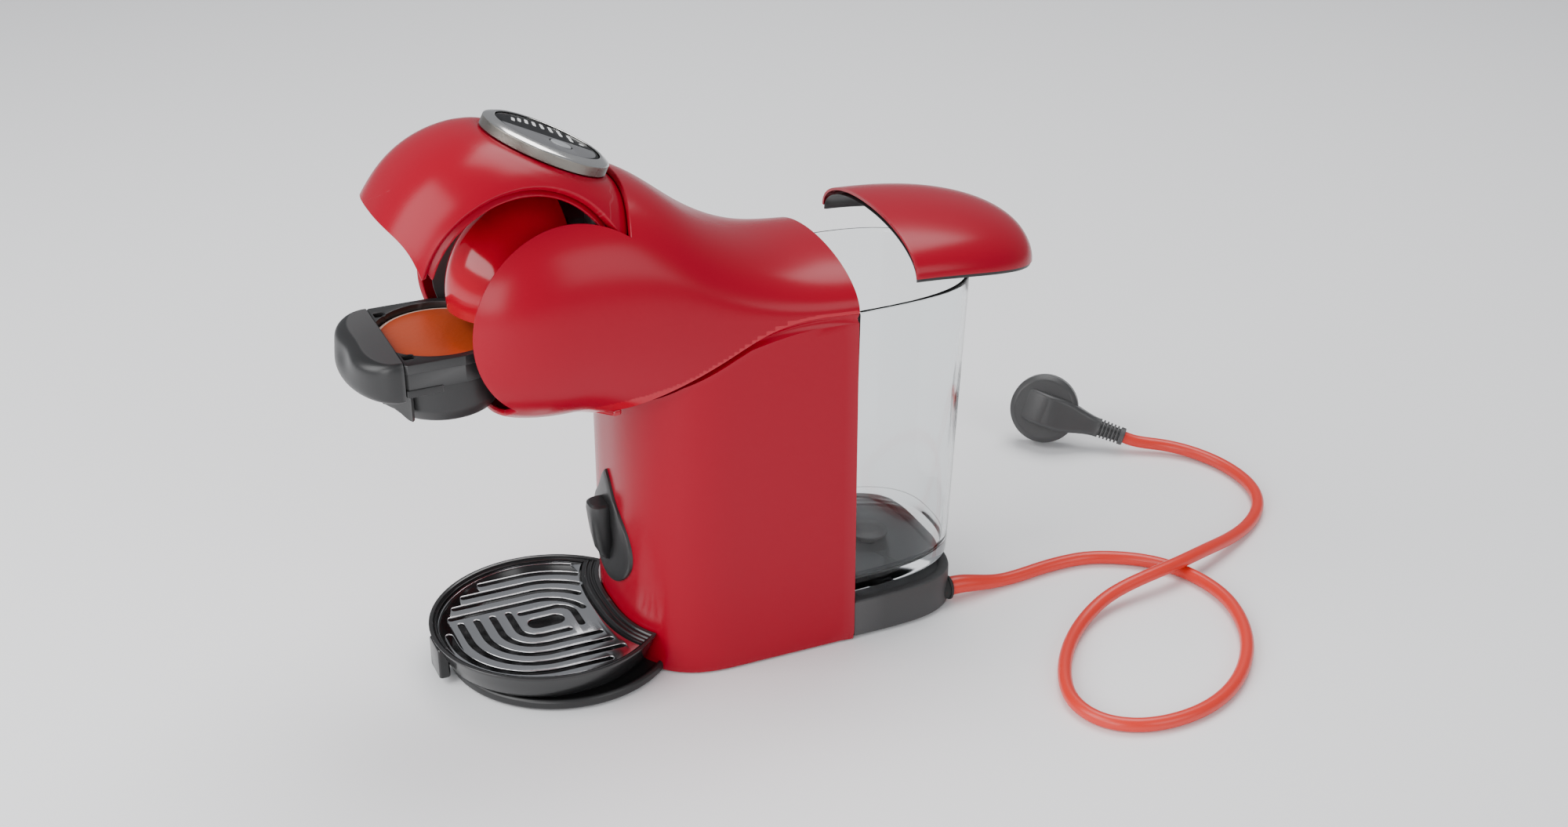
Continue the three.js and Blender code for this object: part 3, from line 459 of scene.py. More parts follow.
def head_skin(inset=0.0, rows=230, sides=300, rear=0.0):
    """Superellipse rings strung along the head, from the nose back to y = rear, pulled in by inset."""
    nose = np.sin(np.linspace(np.pi / 2 * 0.993, 0, fine(rows) // 3))
    ys = np.concatenate([BALL_Y - BALL_FRONT * nose, np.linspace(BALL_Y, rear, fine(rows) * 2 // 3)[1:]])
    half, top, middle, belly, roundness = head_sizes(ys)
    angle = np.linspace(0, 2 * np.pi, fine(sides), endpoint=False)
    c, s = np.cos(angle)[None, :], np.sin(angle)[None, :]
    exponent = (2 / roundness)[:, None]
    x = (np.maximum(half - inset, 0.3))[:, None] * power(c, exponent)
    tall = np.where(s > 0, (top - middle)[:, None], (middle - belly)[:, None])
    z = middle[:, None] + np.maximum(tall - inset, 0.3) * power(s, exponent)
    y = np.broadcast_to(ys[:, None], x.shape)
    points, faces = grid(np.stack([x, y, z], -1), close_v=True)
    tip = len(points)
    points = np.concatenate([points, [[0, BALL_Y - BALL_FRONT + 0.02, BALL_Z]]])
    count = x.shape[1]
    faces += [[tip, (i + 1) % count, i] for i in range(count)]
    return outward(points, faces)


def from_ball(p):
    """Distance from the ball's middle in the side view."""
    return np.hypot(p[:, 1] - BALL_Y, p[:, 2] - BALL_Z)


def neck_edge(x):
    """Where the neck's front edge is, for each x."""
    return NECK_EDGE - NECK_DIP * (x / 44) ** 2


def outside_mouth(p, ease=0.0):
    """Positive on what the head keeps: the cheeks, the neck, and the belly behind the mouth's foot."""
    low = math.radians(235)
    dy, dz = p[:, 1] - BALL_Y, p[:, 2] - BALL_Z
    behind = -math.sin(low) * dy + math.cos(low) * dz - ease
    return np.maximum.reduce([CHEEK_RADIUS - ease - np.hypot(dy, dz), p[:, 1] - neck_edge(p[:, 0]) - ease, np.minimum(behind, -dz)])


# ---- materials -------------------------------------------------------------------------------------
def node(tree, kind, **values):
    """A shader node with its named inputs or properties set."""
    made = tree.nodes.new(kind)
    for key, value in values.items():
        if hasattr(made, key):
            setattr(made, key, value)
        else:
            made.inputs[key.replace("_", " ")].default_value = value
    return made


def surface_group():
    """Shared group: fine grain, faint mottling and edge wear, as changes to colour, roughness and
    height. It works from object position in metres, so it holds still on every piece."""
    if "SurfaceDetail" in bpy.data.node_groups:
        return bpy.data.node_groups["SurfaceDetail"]
    tree = bpy.data.node_groups.new("SurfaceDetail", "ShaderNodeTree")
    face = tree.interface
    for label, kind, value in (
        ("Colour", "NodeSocketColor", (0.5, 0.5, 0.5, 1)),
        ("Roughness", "NodeSocketFloat", 0.4),
        ("Grain Scale", "NodeSocketFloat", 2500.0),
        ("Grain", "NodeSocketFloat", 0.1),
        ("Mottle", "NodeSocketFloat", 0.1),
        ("Wear", "NodeSocketFloat", 0.2),
    ):
        made = face.new_socket(name=label, in_out="INPUT", socket_type=kind)
        made.default_value = value
    face.new_socket(name="Colour", in_out="OUTPUT", socket_type="NodeSocketColor")
    face.new_socket(name="Roughness", in_out="OUTPUT", socket_type="NodeSocketFloat")
    face.new_socket(name="Normal", in_out="OUTPUT", socket_type="NodeSocketVector")
    link = tree.links.new
    given = tree.nodes.new("NodeGroupInput")
    out = tree.nodes.new("NodeGroupOutput")
    where = tree.nodes.new("ShaderNodeTexCoord")
    grain = node(tree, "ShaderNodeTexNoise", Detail=3.0)
    broad = node(tree, "ShaderNodeTexNoise", Scale=38.0, Detail=4.0)
    link(where.outputs["Object"], grain.inputs["Vector"])
    link(where.outputs["Object"], broad.inputs["Vector"])
    link(given.outputs["Grain Scale"], grain.inputs["Scale"])
    geometry = tree.nodes.new("ShaderNodeNewGeometry")
    edge = node(tree, "ShaderNodeMapRange")
    edge.inputs["From Min"].default_value = 0.53
    edge.inputs["From Max"].default_value = 0.62
    link(geometry.outputs["Pointiness"], edge.inputs["Value"])
    worn = node(tree, "ShaderNodeMath", operation="MULTIPLY")
    link(edge.outputs["Result"], worn.inputs[0])
    link(given.outputs["Wear"], worn.inputs[1])
    lighter = node(tree, "ShaderNodeMix", data_type="RGBA", blend_type="SCREEN")
    link(worn.outputs[0], lighter.inputs["Factor"])
    link(given.outputs["Colour"], lighter.inputs["A"])
    lighter.inputs["B"].default_value = (0.35, 0.35, 0.35, 1)
    centred = node(tree, "ShaderNodeMath", operation="SUBTRACT")
    link(broad.outputs["Fac"], centred.inputs[0])
    centred.inputs[1].default_value = 0.5
    amount = node(tree, "ShaderNodeMath", operation="MULTIPLY")
    link(centred.outputs[0], amount.inputs[0])
    link(given.outputs["Mottle"], amount.inputs[1])
    rough = node(tree, "ShaderNodeMath", operation="ADD", use_clamp=True)
    link(amount.outputs[0], rough.inputs[0])
    link(given.outputs["Roughness"], rough.inputs[1])
    link(lighter.outputs["Result"], out.inputs["Colour"])
    link(rough.outputs[0], out.inputs["Roughness"])
    bump = node(tree, "ShaderNodeBump", Distance=0.0002)
    link(grain.outputs["Fac"], bump.inputs["Height"])
    link(given.outputs["Grain"], bump.inputs["Strength"])
    link(bump.outputs["Normal"], out.inputs["Normal"])
    return tree


def finish(name, colour, roughness, grain=0.05, scale=2500.0, mottle=0.08, wear=0.1, metallic=0.0, **extra):
    """A material from the shared surface group, with a plain physically based shader."""
    if name in bpy.data.materials:
        return bpy.data.materials[name]
    made = bpy.data.materials.new(name)
    made.use_nodes = True
    tree = made.node_tree
    shader = tree.nodes["Principled BSDF"]
    group = tree.nodes.new("ShaderNodeGroup")
    group.node_tree = surface_group()
    group.inputs["Colour"].default_value = (*colour, 1)
    group.inputs["Roughness"].default_value = roughness
    group.inputs["Grain Scale"].default_value = scale
    group.inputs["Grain"].default_value = grain
    group.inputs["Mottle"].default_value = mottle
    group.inputs["Wear"].default_value = wear * 2 * settings().wear
    tree.links.new(group.outputs["Colour"], shader.inputs["Base Color"])
    tree.links.new(group.outputs["Roughness"], shader.inputs["Roughness"])
    tree.links.new(group.outputs["Normal"], shader.inputs["Normal"])
    shader.inputs["Metallic"].default_value = metallic
    for key, value in extra.items():
        shader.inputs[key.replace("_", " ")].default_value = value
    return made


def turned_metal(name, colour, roughness, anisotropy):
    """Lathe-turned metal: fine concentric grooves round the piece's own axis as height and shine."""
    made = finish(name, colour, roughness, grain=0.02, metallic=1.0, wear=0.05, mottle=0.12)
    made.node_tree.nodes["Principled BSDF"].inputs["Anisotropic"].default_value = anisotropy
    return made


def clear_plastic():
    """Water-clear plastic with a very slight smoke."""
    made = bpy.data.materials.new("ClearPlastic")
    made.use_nodes = True
    tree = made.node_tree
    shader = tree.nodes["Principled BSDF"]
    shader.inputs["Base Color"].default_value = (0.93, 0.95, 0.955, 1)
    shader.inputs["Roughness"].default_value = 0.04
    shader.inputs["Metallic"].default_value = 0.0
    shader.inputs["IOR"].default_value = 1.3
    shader.inputs["Transmission Weight"].default_value = 1.0
    where = tree.nodes.new("ShaderNodeTexCoord")
    ripple = node(tree, "ShaderNodeTexNoise", Scale=24.0, Detail=2.0)
    bump = node(tree, "ShaderNodeBump", Distance=0.001, Strength=0.03)
    tree.links.new(where.outputs["Object"], ripple.inputs["Vector"])
    tree.links.new(ripple.outputs["Fac"], bump.inputs["Height"])
    tree.links.new(bump.outputs["Normal"], shader.inputs["Normal"])
    return made


RED = (0.315, 0.0, 0.0145)


def palette():
    """All the finishes, made once."""
    return {
        "red": finish("RedSatin", RED, 0.25, grain=0.03, scale=240, wear=0.05, mottle=0.05, Specular_IOR_Level=0.22),
        "red_gloss": finish("RedGloss", (0.42, 0.0, 0.016), 0.12, grain=0.01, scale=200, wear=0.05, mottle=0.04, Specular_IOR_Level=0.45),
        "black": finish("BlackSatin", (0.014, 0.014, 0.0145), 0.38, grain=0.12, wear=0.12),
        "black_gloss": finish("BlackGloss", (0.010, 0.010, 0.011), 0.12, grain=0.01, wear=0.1),
        "dark": finish("DarkGrained", (0.035, 0.035, 0.036), 0.5, grain=0.3, scale=1800, wear=0.1),
        "steel": finish("PolishedSteel", (0.55, 0.55, 0.56), 0.17, grain=0.02, metallic=1.0, wear=0.06, mottle=0.1),
        "ring": turned_metal("TurnedNickel", (0.50, 0.485, 0.46), 0.27, 0.6),
        "bevel": turned_metal("BrightBevel", (0.72, 0.71, 0.69), 0.16, 0.3),
        "rubber": finish("Rubber", (0.012, 0.012, 0.012), 0.75, grain=0.4, wear=0.05),
        "cord": finish("CordRed", (0.66, 0.028, 0.016), 0.34, grain=0.06, scale=900, wear=0.02, mottle=0.06),
        "foil": finish("FoilOrange", (0.60, 0.085, 0.022), 0.33, grain=0.5, scale=420, wear=0.05, metallic=0.35),
        "pale": finish("PaleRim", (0.72, 0.55, 0.45), 0.35, grain=0.05, metallic=0.3),
        "tray": finish("TrayBlack", (0.012, 0.012, 0.0125), 0.2, grain=0.03, wear=0.1),
        "plug": finish("PlugBlack", (0.045, 0.045, 0.046), 0.42, grain=0.1, scale=1800, wear=0.1),
        "light": finish("DisplayMark", (0.80, 0.80, 0.80), 0.4, grain=0.02),
        "aluminium": finish("CastAluminium", (0.48, 0.49, 0.5), 0.45, grain=0.5, scale=700, metallic=0.9),
        "glass": finish("DisplayGlass", (0.002, 0.002, 0.0022), 0.3, grain=0.01, wear=0.0, mottle=0.02, Specular_IOR_Level=0.04),
        # Painted reflection: a lighter grey for the half-moon on the display glass, standing in for the studio light's
        # reflection.
        "moon": finish("DisplayPaintedReflection", (0.13, 0.13, 0.135), 0.3, grain=0.02, wear=0.0, Specular_IOR_Level=0.2),
        "board": finish("GreenBoard", (0.015, 0.10, 0.035), 0.5, grain=0.1),
        "grey": finish("GreyPlastic", (0.30, 0.31, 0.32), 0.35, grain=0.1),
        "clear": bpy.data.materials.get("ClearPlastic") or clear_plastic(),
    }


# ---- plan outlines ---------------------------------------------------------------------------------
def d_outline(half, base, straight, end, exponent, sense, count=60):
    """A plan with a flat edge at y = base, straight sides, and a superellipse end."""
    angle = np.linspace(0, np.pi, fine(count))
    x = half * power(np.cos(angle), 2 / exponent)
    y = base + sense * (straight + end * np.abs(np.sin(angle)) ** (2 / exponent))
    curve = np.column_stack([x, y])
    if straight > 0.01:
        down = np.column_stack([np.full(8, half), base + sense * straight * np.linspace(0, 1, 8, endpoint=False)])
        up = np.column_stack([np.full(8, -half), base + sense * straight * np.linspace(1, 0, 9)[1:]])
        curve = np.concatenate([down, curve, up])
    return curve if sense > 0 else curve[::-1]


def body_outline(inset=0.0, count=90):
    """The column's plan, pulled in by inset."""
    return d_outline(BODY_HALF - inset, 0, BODY_STRAIGHT, BODY_NOSE - inset, BODY_POWER, -1, count)


def body_front(x, out=0.0):
    """y of the column's front at x, moved out."""
    share = np.clip(np.abs(x) / (BODY_HALF + out), 0, 0.9999)
    return -BODY_STRAIGHT - (BODY_NOSE + out) * (1 - share**BODY_POWER) ** (1 / BODY_POWER)


# ---- column and head -------------------------------------------------------------------------------
def column_skin():
    """The column as upright lines that follow its plan. Each line runs from the table to the crease
    and on to the joint, so both lines are crisp. Above the crease the wall steps in to make the
    scoop under the head, deepest beside the nose."""
    plan = body_outline(0, 220)
    near, after = np.roll(plan, 1, 0), np.roll(plan, -1, 0)
    side = after - near
    length = np.maximum(np.linalg.norm(side, axis=1), 1e-6)
    normal = np.column_stack([side[:, 1], -side[:, 0]]) / length[:, None]
    if np.dot(normal[len(plan) // 2], plan[len(plan) // 2] - [0, -50]) < 0:
        normal = -normal
    y = plan[:, 1]
    top = SEAM_LINE(y) - 0.35
    crease = np.minimum(CREASE_LINE(y), top - 2.5)
    deep = 1.0 + 5.6 * smooth(-y / 108) ** 1.4
    deep *= smooth((np.abs(plan[:, 0]) - 16) / 22)
    rows = []
    for share in np.linspace(0, 1, fine(40)):
        z = 1.2 + (crease - 1.2) * share
        foot = 0.6 * (1 - smooth((z - 1.2) / 1.5))
        rows.append(np.column_stack([plan - normal * foot[:, None], z]))
    for share in np.linspace(0, 1, fine(26))[1:]:
        z = crease + (top - crease) * share
        inset = deep * (1 - (1 - min(share / 0.7, 1)) ** 2) * (1 - 0.72 * smooth((share - 0.55) / 0.45))
        rows.append(np.column_stack([plan - normal * inset[:, None], z]))
    points, faces = grid(np.array(rows), close_v=True)
    return outward_tube(points, faces)


def outward_tube(points, faces):
    """Turns an open upright tube's faces away from its middle line."""
    a, b, c = (points[[f[k] for f in faces]] for k in range(3))
    n = np.cross(b - a, c - a)
    middle = (a + c) / 2 - points.mean(0)
    middle[:, 2] = 0
    if np.einsum("ij,ij->", n, middle) < 0:
        faces = [f[::-1] for f in faces]
    return points, faces


def build_column(mat):
    points, faces = column_skin()

    def off_slot(p):
        return np.maximum.reduce([np.abs(p[:, 0]) - 5, p[:, 2] - 74, 44 - p[:, 2], p[:, 1] + 90])

    points, faces = clip(points, faces, off_slot)
    mesh_piece("ColumnShell", thick(points, faces, 2.3, 0.25), "body", mat["red"], ["column_shell"])


def head_points():
    """The head's skin, trimmed to what the head shell keeps."""
    points, faces = head_skin()
    faces = [f for f in faces if points[f, 2].max() > 128]
    points, faces = tidy(points, faces)
    points, faces = clip(points, faces, lambda p: p[:, 2] - SEAM_LINE(p[:, 1]))
    points, faces = clip(points, faces, outside_mouth)

    def off_tongue(p):
        return np.maximum.reduce([np.abs(p[:, 0]) - 31, p[:, 2] - 176, p[:, 1] + 112.5])

    return clip(points, faces, off_tongue)


def build_head(mat):
    points, faces = head_points()
    shell = mesh_piece("HeadShell", thick(points, faces, 3.0, 0.5), "body", mat["red"], ["head_shell"])
    shell.data.materials.append(mat["red_gloss"])
    gloss_lip(shell)
    build_outlet(mat)


def gloss_lip(shell):
    """The polished strip along the head's lower edge and the neck's crown."""
    mesh = shell.data
    centre = np.zeros(len(mesh.polygons) * 3)
    mesh.polygons.foreach_get("center", centre)
    c = centre.reshape(-1, 3) / MM - [0, SHIFT, 0]
    width = 1.6 + 6.0 * smooth((-c[:, 1] - 80) / 50)
    lip = (c[:, 2] - SEAM_LINE(c[:, 1])) < width
    mesh.polygons.foreach_set("material_index", lip.astype(int))


def build_outlet(mat):
    """The tongue under the head that carries the spout."""
    skin, faces = head_skin(inset=0.0, rows=200, sides=220, rear=-112.4)
    faces = [f for f in faces if skin[f, 2].max() < 178 and abs(skin[f, 0]).min() < 31]
    skin, faces = tidy(skin, faces)
    a = lambda p: np.minimum.reduce([30.2 - np.abs(p[:, 0]), -113.0 - p[:, 1], p[:, 1] + 171, 176 - p[:, 2]])
    skin, faces = clip(skin, faces, lambda p: 1 - (np.abs(p[:, 0]) / 30.2) ** 3 - (np.clip(-150 - p[:, 1], 0, 99) / 20) ** 3)
    skin, faces = clip(skin, faces, a)
    skin, faces = clip(skin, faces, lambda p: np.hypot(p[:, 0], p[:, 1] + 150.5) - 7)
    skin[:, 2] = np.where(skin[:, 1] > BALL_Y, np.maximum(skin[:, 2], 141.0), skin[:, 2])
    mesh_piece("OutletTongue", thick(skin, faces, 3.2, 1.0), "body", mat["red_gloss"], ["outlet_cover"])


# ---- handle, dial -----------------------------------------------------------------------------------
def dial_frame():
    """Axes of the dial on the closed handle, as matrix columns, and its base centre."""
    c, s = math.cos(DIAL_TILT), math.sin(DIAL_TILT)
    return [[1, 0, 0], [0, c, -s], [0, s, c]], [0, DIAL_Y, DIAL_Z]


def on_dial(points):
    """From the dial's own frame to the raised handle."""
    matrix, at = dial_frame()
    return raised(place(points, matrix, at))


def dial_seat(points):
    """The crown is pressed down to a shallow flat seat round the dial, with a soft shoulder."""
    matrix, at = dial_frame()
    local = (points - at) @ np.array(matrix)
    rho = np.hypot(local[:, 0], local[:, 1])
    reach = DIAL_RING + 0.7
    cap = np.where(rho < reach, -0.3, 0.5 + 0.16 * (rho - reach))
    height = local[:, 2]
    over = height - cap
    soft = np.where(rho < reach, 0.05, 2.2)
    pressed = cap + 0.5 * (over - np.sqrt(over**2 + soft**2))
    share = (1 - smooth((rho - 46) / 16)) * smooth((over + 9) / 4)
    local[:, 2] = height + (pressed - height) * share
    return local @ np.array(matrix).T + at


def handle_edge(x):
    """Height of the closed handle's lower edge at x: an arch that drops towards the cheeks."""
    return 190.8 - np.minimum(8.4 * (np.abs(x) / 44) ** 8, 9.6)


def handle_skin(inset):
    """The part of the head's form that the handle keeps, pulled in by inset."""
    points, faces = head_skin(inset, rows=280, sides=340, rear=-96)
    faces = [f for f in faces if points[f, 2].max() > 180]
    points, faces = tidy(points, faces)
    return clip(points, faces, lambda p: p[:, 2] - handle_edge(p[:, 0]))


def ahead_of_neck(p):
    """Positive on what lies ahead of the neck's front edge, both raised and closed."""
    q = raised(p)
    return np.minimum(neck_edge(q[:, 0]) - 1.6 - q[:, 1], neck_edge(p[:, 0]) - 1.2 - p[:, 1])


def build_handle(mat):
    points, faces = handle_skin(0.0)
    points, faces = clip(points, faces, lambda p: from_ball(p) - 49.1)
    points, faces = clip(points, faces, ahead_of_neck)
    points, faces = thick(dial_seat(points), faces, 4.0, 0.5)
    flange, ring = handle_skin(4.6)
    flange, ring = clip(flange, ring, lambda p: np.minimum(from_ball(p) - 44.2, 50.6 - from_ball(p)))
    flange, ring = clip(flange, ring, ahead_of_neck)
    flange, ring = thick(flange, ring, 1.2, 0.4)
    points, faces = joined((points, faces), (flange, ring))
    mesh_piece("HandleShell", (raised(points), faces), "handle", mat["red"], ["handle_shell"])
    build_dial(mat)


def build_dial(mat):
    """The black cup, then the ring: a side of fine turned grooves and a bright bevel on top."""
    cup = turned(rounded_corner([(0, 0), (24, 0), (24, 1.7), (0, 1.7)], 0.3))
    mesh_piece("DialCup", (on_dial(cup[0]), cup[1]), "handle", mat["black"], ["dial_cup"])
    hole, rim = DIAL_GLASS + 0.4, DIAL_RING
    side = [(hole, 0.3), (rim - 0.4, 0.3)]
    for k in range(15):
        z = 0.5 + k * 0.29
        side += [(rim, z), (rim - 0.22, z + 0.15)]
    side += [(rim, 4.9)]
    count = len(side) - 1
    bevel = [(rim - 0.3, 5.3), (rim - 1.0, 5.7), (rim - 2.4, 6.3), (rim - 4.0, 6.9), (hole + 0.5, 7.0), (hole, 6.7), (hole, 4)]
    ring = turned(side + bevel, 192)
    made = mesh_piece("DialRing", (on_dial(ring[0]), ring[1]), "dial", mat["ring"], ["dial_ring"], sharp=50)
    made.data.materials.append(mat["bevel"])
    rows = np.arange(len(made.data.polygons)) // 192
    made.data.polygons.foreach_set("material_index", (rows >= count).astype(int))
    build_display(mat)


def build_display(mat):
    """The dark glass disc with its hole for the button, and the marks on it: a lighter half-moon on
    the right, an arc of eight bars and a dot on the left."""
    sides = 128
    angle = np.linspace(0, 2 * np.pi, sides, endpoint=False)
    ring = np.column_stack([np.cos(angle), np.sin(angle)])
    centre = np.array([8.0, 4.0])
    along = ring @ centre
    reach = -along + np.sqrt(along**2 + DIAL_GLASS**2 - np.dot(centre, centre))
    rows = []
    profile = ((0, 3.6), (0, 6.15), (0.03, 6.3), (0.2, 6.3), (0.5, 6.3), (0.8, 6.3), (0.97, 6.3), (1.0, 6.05), (1.0, 2.1), (0, 2.1))
    for share, z in profile:
        r = 5.3 + (reach - 5.3) * share
        rows.append(np.column_stack([centre + ring * r[:, None], np.full(sides, z)]))
    points, faces = outward(*grid(np.array(rows), close_u=True, close_v=True))
    mesh_piece("DisplayGlass", (on_dial(points), faces), "handle", mat["glass"], ["display_glass"])
    marks = []
    for k in range(8):
        y = -13.5 + 4.1 * k
        x = -3.0 - 0.75 * math.sqrt(17.6**2 - y * y)
        lean = 0.31 - 0.025 * k
        level = math.sqrt(1 - lean**2)
        bar = rounded_rectangle(0, 0, 3.3 + 0.28 * k, 0.85, 0.8, 3)
        bar = bar @ np.array([[level, -lean], [lean, level]]) + [x, y]
        marks.append(flat_mark(bar, 6.36))
    dot = np.column_stack([-5 + 1.3 * ring[::8, 0], 19.5 + 1.3 * ring[::8, 1]])
    marks.append(flat_mark(dot, 6.36))
    points, faces = joined(*marks)
    mesh_piece("DisplayMarks", (on_dial(points), faces), "handle", mat["light"], [])
    # The half-moon is a painted reflection: a lighter grey patch on the glass in place of the studio light's
    # reflection.
    edge, chord = DIAL_GLASS - 1.6, 0.5
    turn = np.linspace(-math.acos(chord / edge), math.acos(chord / edge), 60)
    moon = np.column_stack([edge * np.cos(turn), edge * np.sin(turn)])
    well = [(8 + 5.7 * math.cos(t), 4 + 5.7 * math.sin(t)) for t in np.linspace(0, 2 * np.pi, 48, endpoint=False)]
    points, faces = plate_with_holes(moon, [well], 6.2, 6.37, 0.05)
    mesh_piece("DisplayPaintedReflection", (on_dial(points), faces), "handle", mat["moon"], [])
    cap = turned(rounded_corner([(0, 4.8), (5, 4.8), (5, 6.5), (4.2, 6.75), (0, 6.55)], 0.4), 48, 8, 4)
    mesh_piece("SelectButton", (on_dial(cap[0]), cap[1]), "button", mat["grey"], ["select_button"])


def flat_mark(outline, z, depth=0.18):
    """A low raised mark with a plan outline."""
    points = np.concatenate([np.column_stack([outline, np.full(len(outline), z - depth)]), np.column_stack([outline, np.full(len(outline), z)])])
    n = len(outline)
    faces = [[i, (i + 1) % n, n + (i + 1) % n, n + i] for i in range(n)]
    faces += [list(range(n))[::-1], [n + i for i in range(n)]]
    return outward(points, faces)


# ---- the press between the cheeks --------------------------------------------------------------------
def build_press(mat):
    """The rounded jaw: superellipse discs across the machine, swollen most at the middle, with a
    soft ridge that runs up its front, cut level below and behind."""
    xs = 37.6 * np.sin(np.linspace(-np.pi / 2 * 0.985, np.pi / 2 * 0.985, fine(110)))
    angle = np.linspace(0, 2 * np.pi, fine(180), endpoint=False)
    share = np.abs(xs) / 37.6
    radius = 46.0 * (1 - share**1.75) ** (1 / 2.1)
    y = BALL_Y + radius[:, None] * np.cos(angle)
    z = BALL_Z + 4 + radius[:, None] * np.sin(angle)
    points, faces = grid(np.stack([np.broadcast_to(xs[:, None], y.shape), y, z], -1), close_v=True)
    ends = len(angle)
    faces.append(list(range(ends)))
    faces.append([(len(xs) - 1) * ends + i for i in range(ends)][::-1])
    points, faces = outward(points, faces)
    points, faces = clip(points, faces, lambda p: np.minimum(p[:, 2] - 194.9, -131.6 - p[:, 1]))
    mesh_piece("JawCover", thick(points, faces, 2.4, 0.4), "press", mat["red_gloss"], ["jaw_cover"])


def build_hinge(mat):
    """The dark rounded block behind the jaw that carries the handle's hinge."""
    a = block(-16, 16, -130, -110, 221, 236, 3.0)
    b = block(-30, 30, -128.5, -110, 205, 226, 3.5)
    c = block(-30, -17, -122.4, -114.2, 222, 242.8, 2.5)
    d = block(17, 30, -122.4, -114.2, 222, 242.8, 2.5)
    mesh_piece("HingeBlock", joined(a, b, c, d), "body", mat["dark"], ["hinge_block"])


# ---- holder and pod -----------------------------------------------------------------------------------
def plate_with_holes(outline, holes, z0, z1, soft=0.3):
    """A flat plate with through holes. The top and bottom are filled between the outlines, and each
    edge has a small round."""
    loops = [np.asarray(outline, float)] + [np.asarray(h, float) for h in holes]
    points, faces, level = [], [], []
    for k, loop in enumerate(loops):
        area = 0.5 * np.sum(loop[:, 0] * np.roll(loop[:, 1], -1) - loop[:, 1] * np.roll(loop[:, 0], -1))
        if (area > 0) != (k == 0):
            loop = loop[::-1]
        side = np.roll(loop, -1, 0) - np.roll(loop, 1, 0)
        side /= np.maximum(np.linalg.norm(side, axis=1), 1e-9)[:, None]
        inward = np.column_stack([-side[:, 1], side[:, 0]])
        rings = []
        for step in range(4):
            turn = math.pi / 2 * step / 3
            rings.append((soft * (1 - math.sin(turn)), z0 + soft * (1 - math.cos(turn))))
        for step in range(4):
            turn = math.pi / 2 * step / 3
            rings.append((soft * (1 - math.cos(turn)), z1 - soft * (1 - math.sin(turn))))
        base = len(points)
        n = len(loop)
        for inset, z in rings:
            flat = loop + inward * inset
            points += np.column_stack([flat, np.full(n, z)]).tolist()
        for r in range(len(rings) - 1):
            for i in range(n):
                j = (i + 1) % n
                faces.append([base + r * n + i, base + r * n + j, base + (r + 1) * n + j, base + (r + 1) * n + i])
        level.append((base, base + (len(rings) - 1) * n, n))
    for top in (False, True):
        index, polygons = [], []
        for low, high, n in level:
            start = high if top else low
            index += list(range(start, start + n))
            polygons.append([Vector(points[start + i]) for i in range(n)])
        for tri in tessellate_polygon(polygons):
            face = [index[i] for i in tri]
            a, b, c = (np.array(points[i][:2]) for i in face)
            up = (b[0] - a[0]) * (c[1] - a[1]) - (b[1] - a[1]) * (c[0] - a[0]) > 0
            faces.append(face if up == top else face[::-1])
    return np.array(points), faces


def build_holder(mat):
    arc = [(34.2 * math.cos(t), POD_Y + 34.2 * math.sin(t)) for t in np.radians(np.linspace(4.5, 175.5, fine(48)))]
    front = -213.4
    rim = [(34, -186)] + arc + [(-34, -186), (-34, front + 1.2), (-32.8, front), (32.8, front), (34, front + 1.2)]
    turns = np.linspace(0, 2 * np.pi, 96, endpoint=False)
    seat = [(30.1 * math.cos(t), POD_Y + 30.1 * math.sin(t)) for t in turns]
    keys = [rounded_rectangle(s * 25, -209.5, 2.4, 2.4, 0.6, 2) for s in (-1, 1)]
    top = plate_with_holes(rim, [seat, *keys], 182.9, 187.5, 0.35)
    bore = [(28.2 * math.cos(t), POD_Y + 28.2 * math.sin(t)) for t in turns]
    low = plate_with_holes([(x * 0.985, y) for x, y in rim], [bore], 174.5, 182.95, 0.2)
    cup = turned(
        rounded_corner([(28.6, 175.5), (28.9, 172), (27.4, 158), (24.5, 152.2), (20, 150.6), (9.5, 150.6), (9.3, 152.8), (20.5, 153.2), (22.2, 155), (27.0, 175.5), (28.6, 175.5)], 1.2),
        96, 0, POD_Y,
    )
    skirt = block(-34, 34, -213.4, -196.5, 171.5, 175.2, 0.5)
    tab = block(-9, 9, -219, -213.2, 158, 169, 1.0)
    mesh_piece("HolderPlate", joined(top, low, skirt, tab), "holder", mat["black"], ["holder_plate"])
    mesh_piece("HolderCup", joined(cup, collar()), "holder", mat["black"], [])
    build_grip(mat)
    pod(mat)


def collar():
    """A curved wall round the front of the cup, ending at the near side in a short pointed tab."""
    turn = np.radians(np.linspace(150, 318, fine(80)))
    low = 158.5 - 4.5 * smooth((np.degrees(turn) - 300) / 18)
    rows = []
    for radius, share in ((29.0, 1.0), (29.0, 0.02), (29.3, 0.0), (30.9, 0.0), (31.2, 0.02), (31.2, 1.0)):
        z = low + (174.0 - low) * share
        rows.append(np.column_stack([radius * np.cos(turn), POD_Y + radius * np.sin(turn), z]))
    points, faces = grid(np.array(rows), close_u=True)
    count = len(turn)
    faces.append([r * count for r in range(6)])
    faces.append([r * count + count - 1 for r in range(6)][::-1])
    return outward(points, faces)


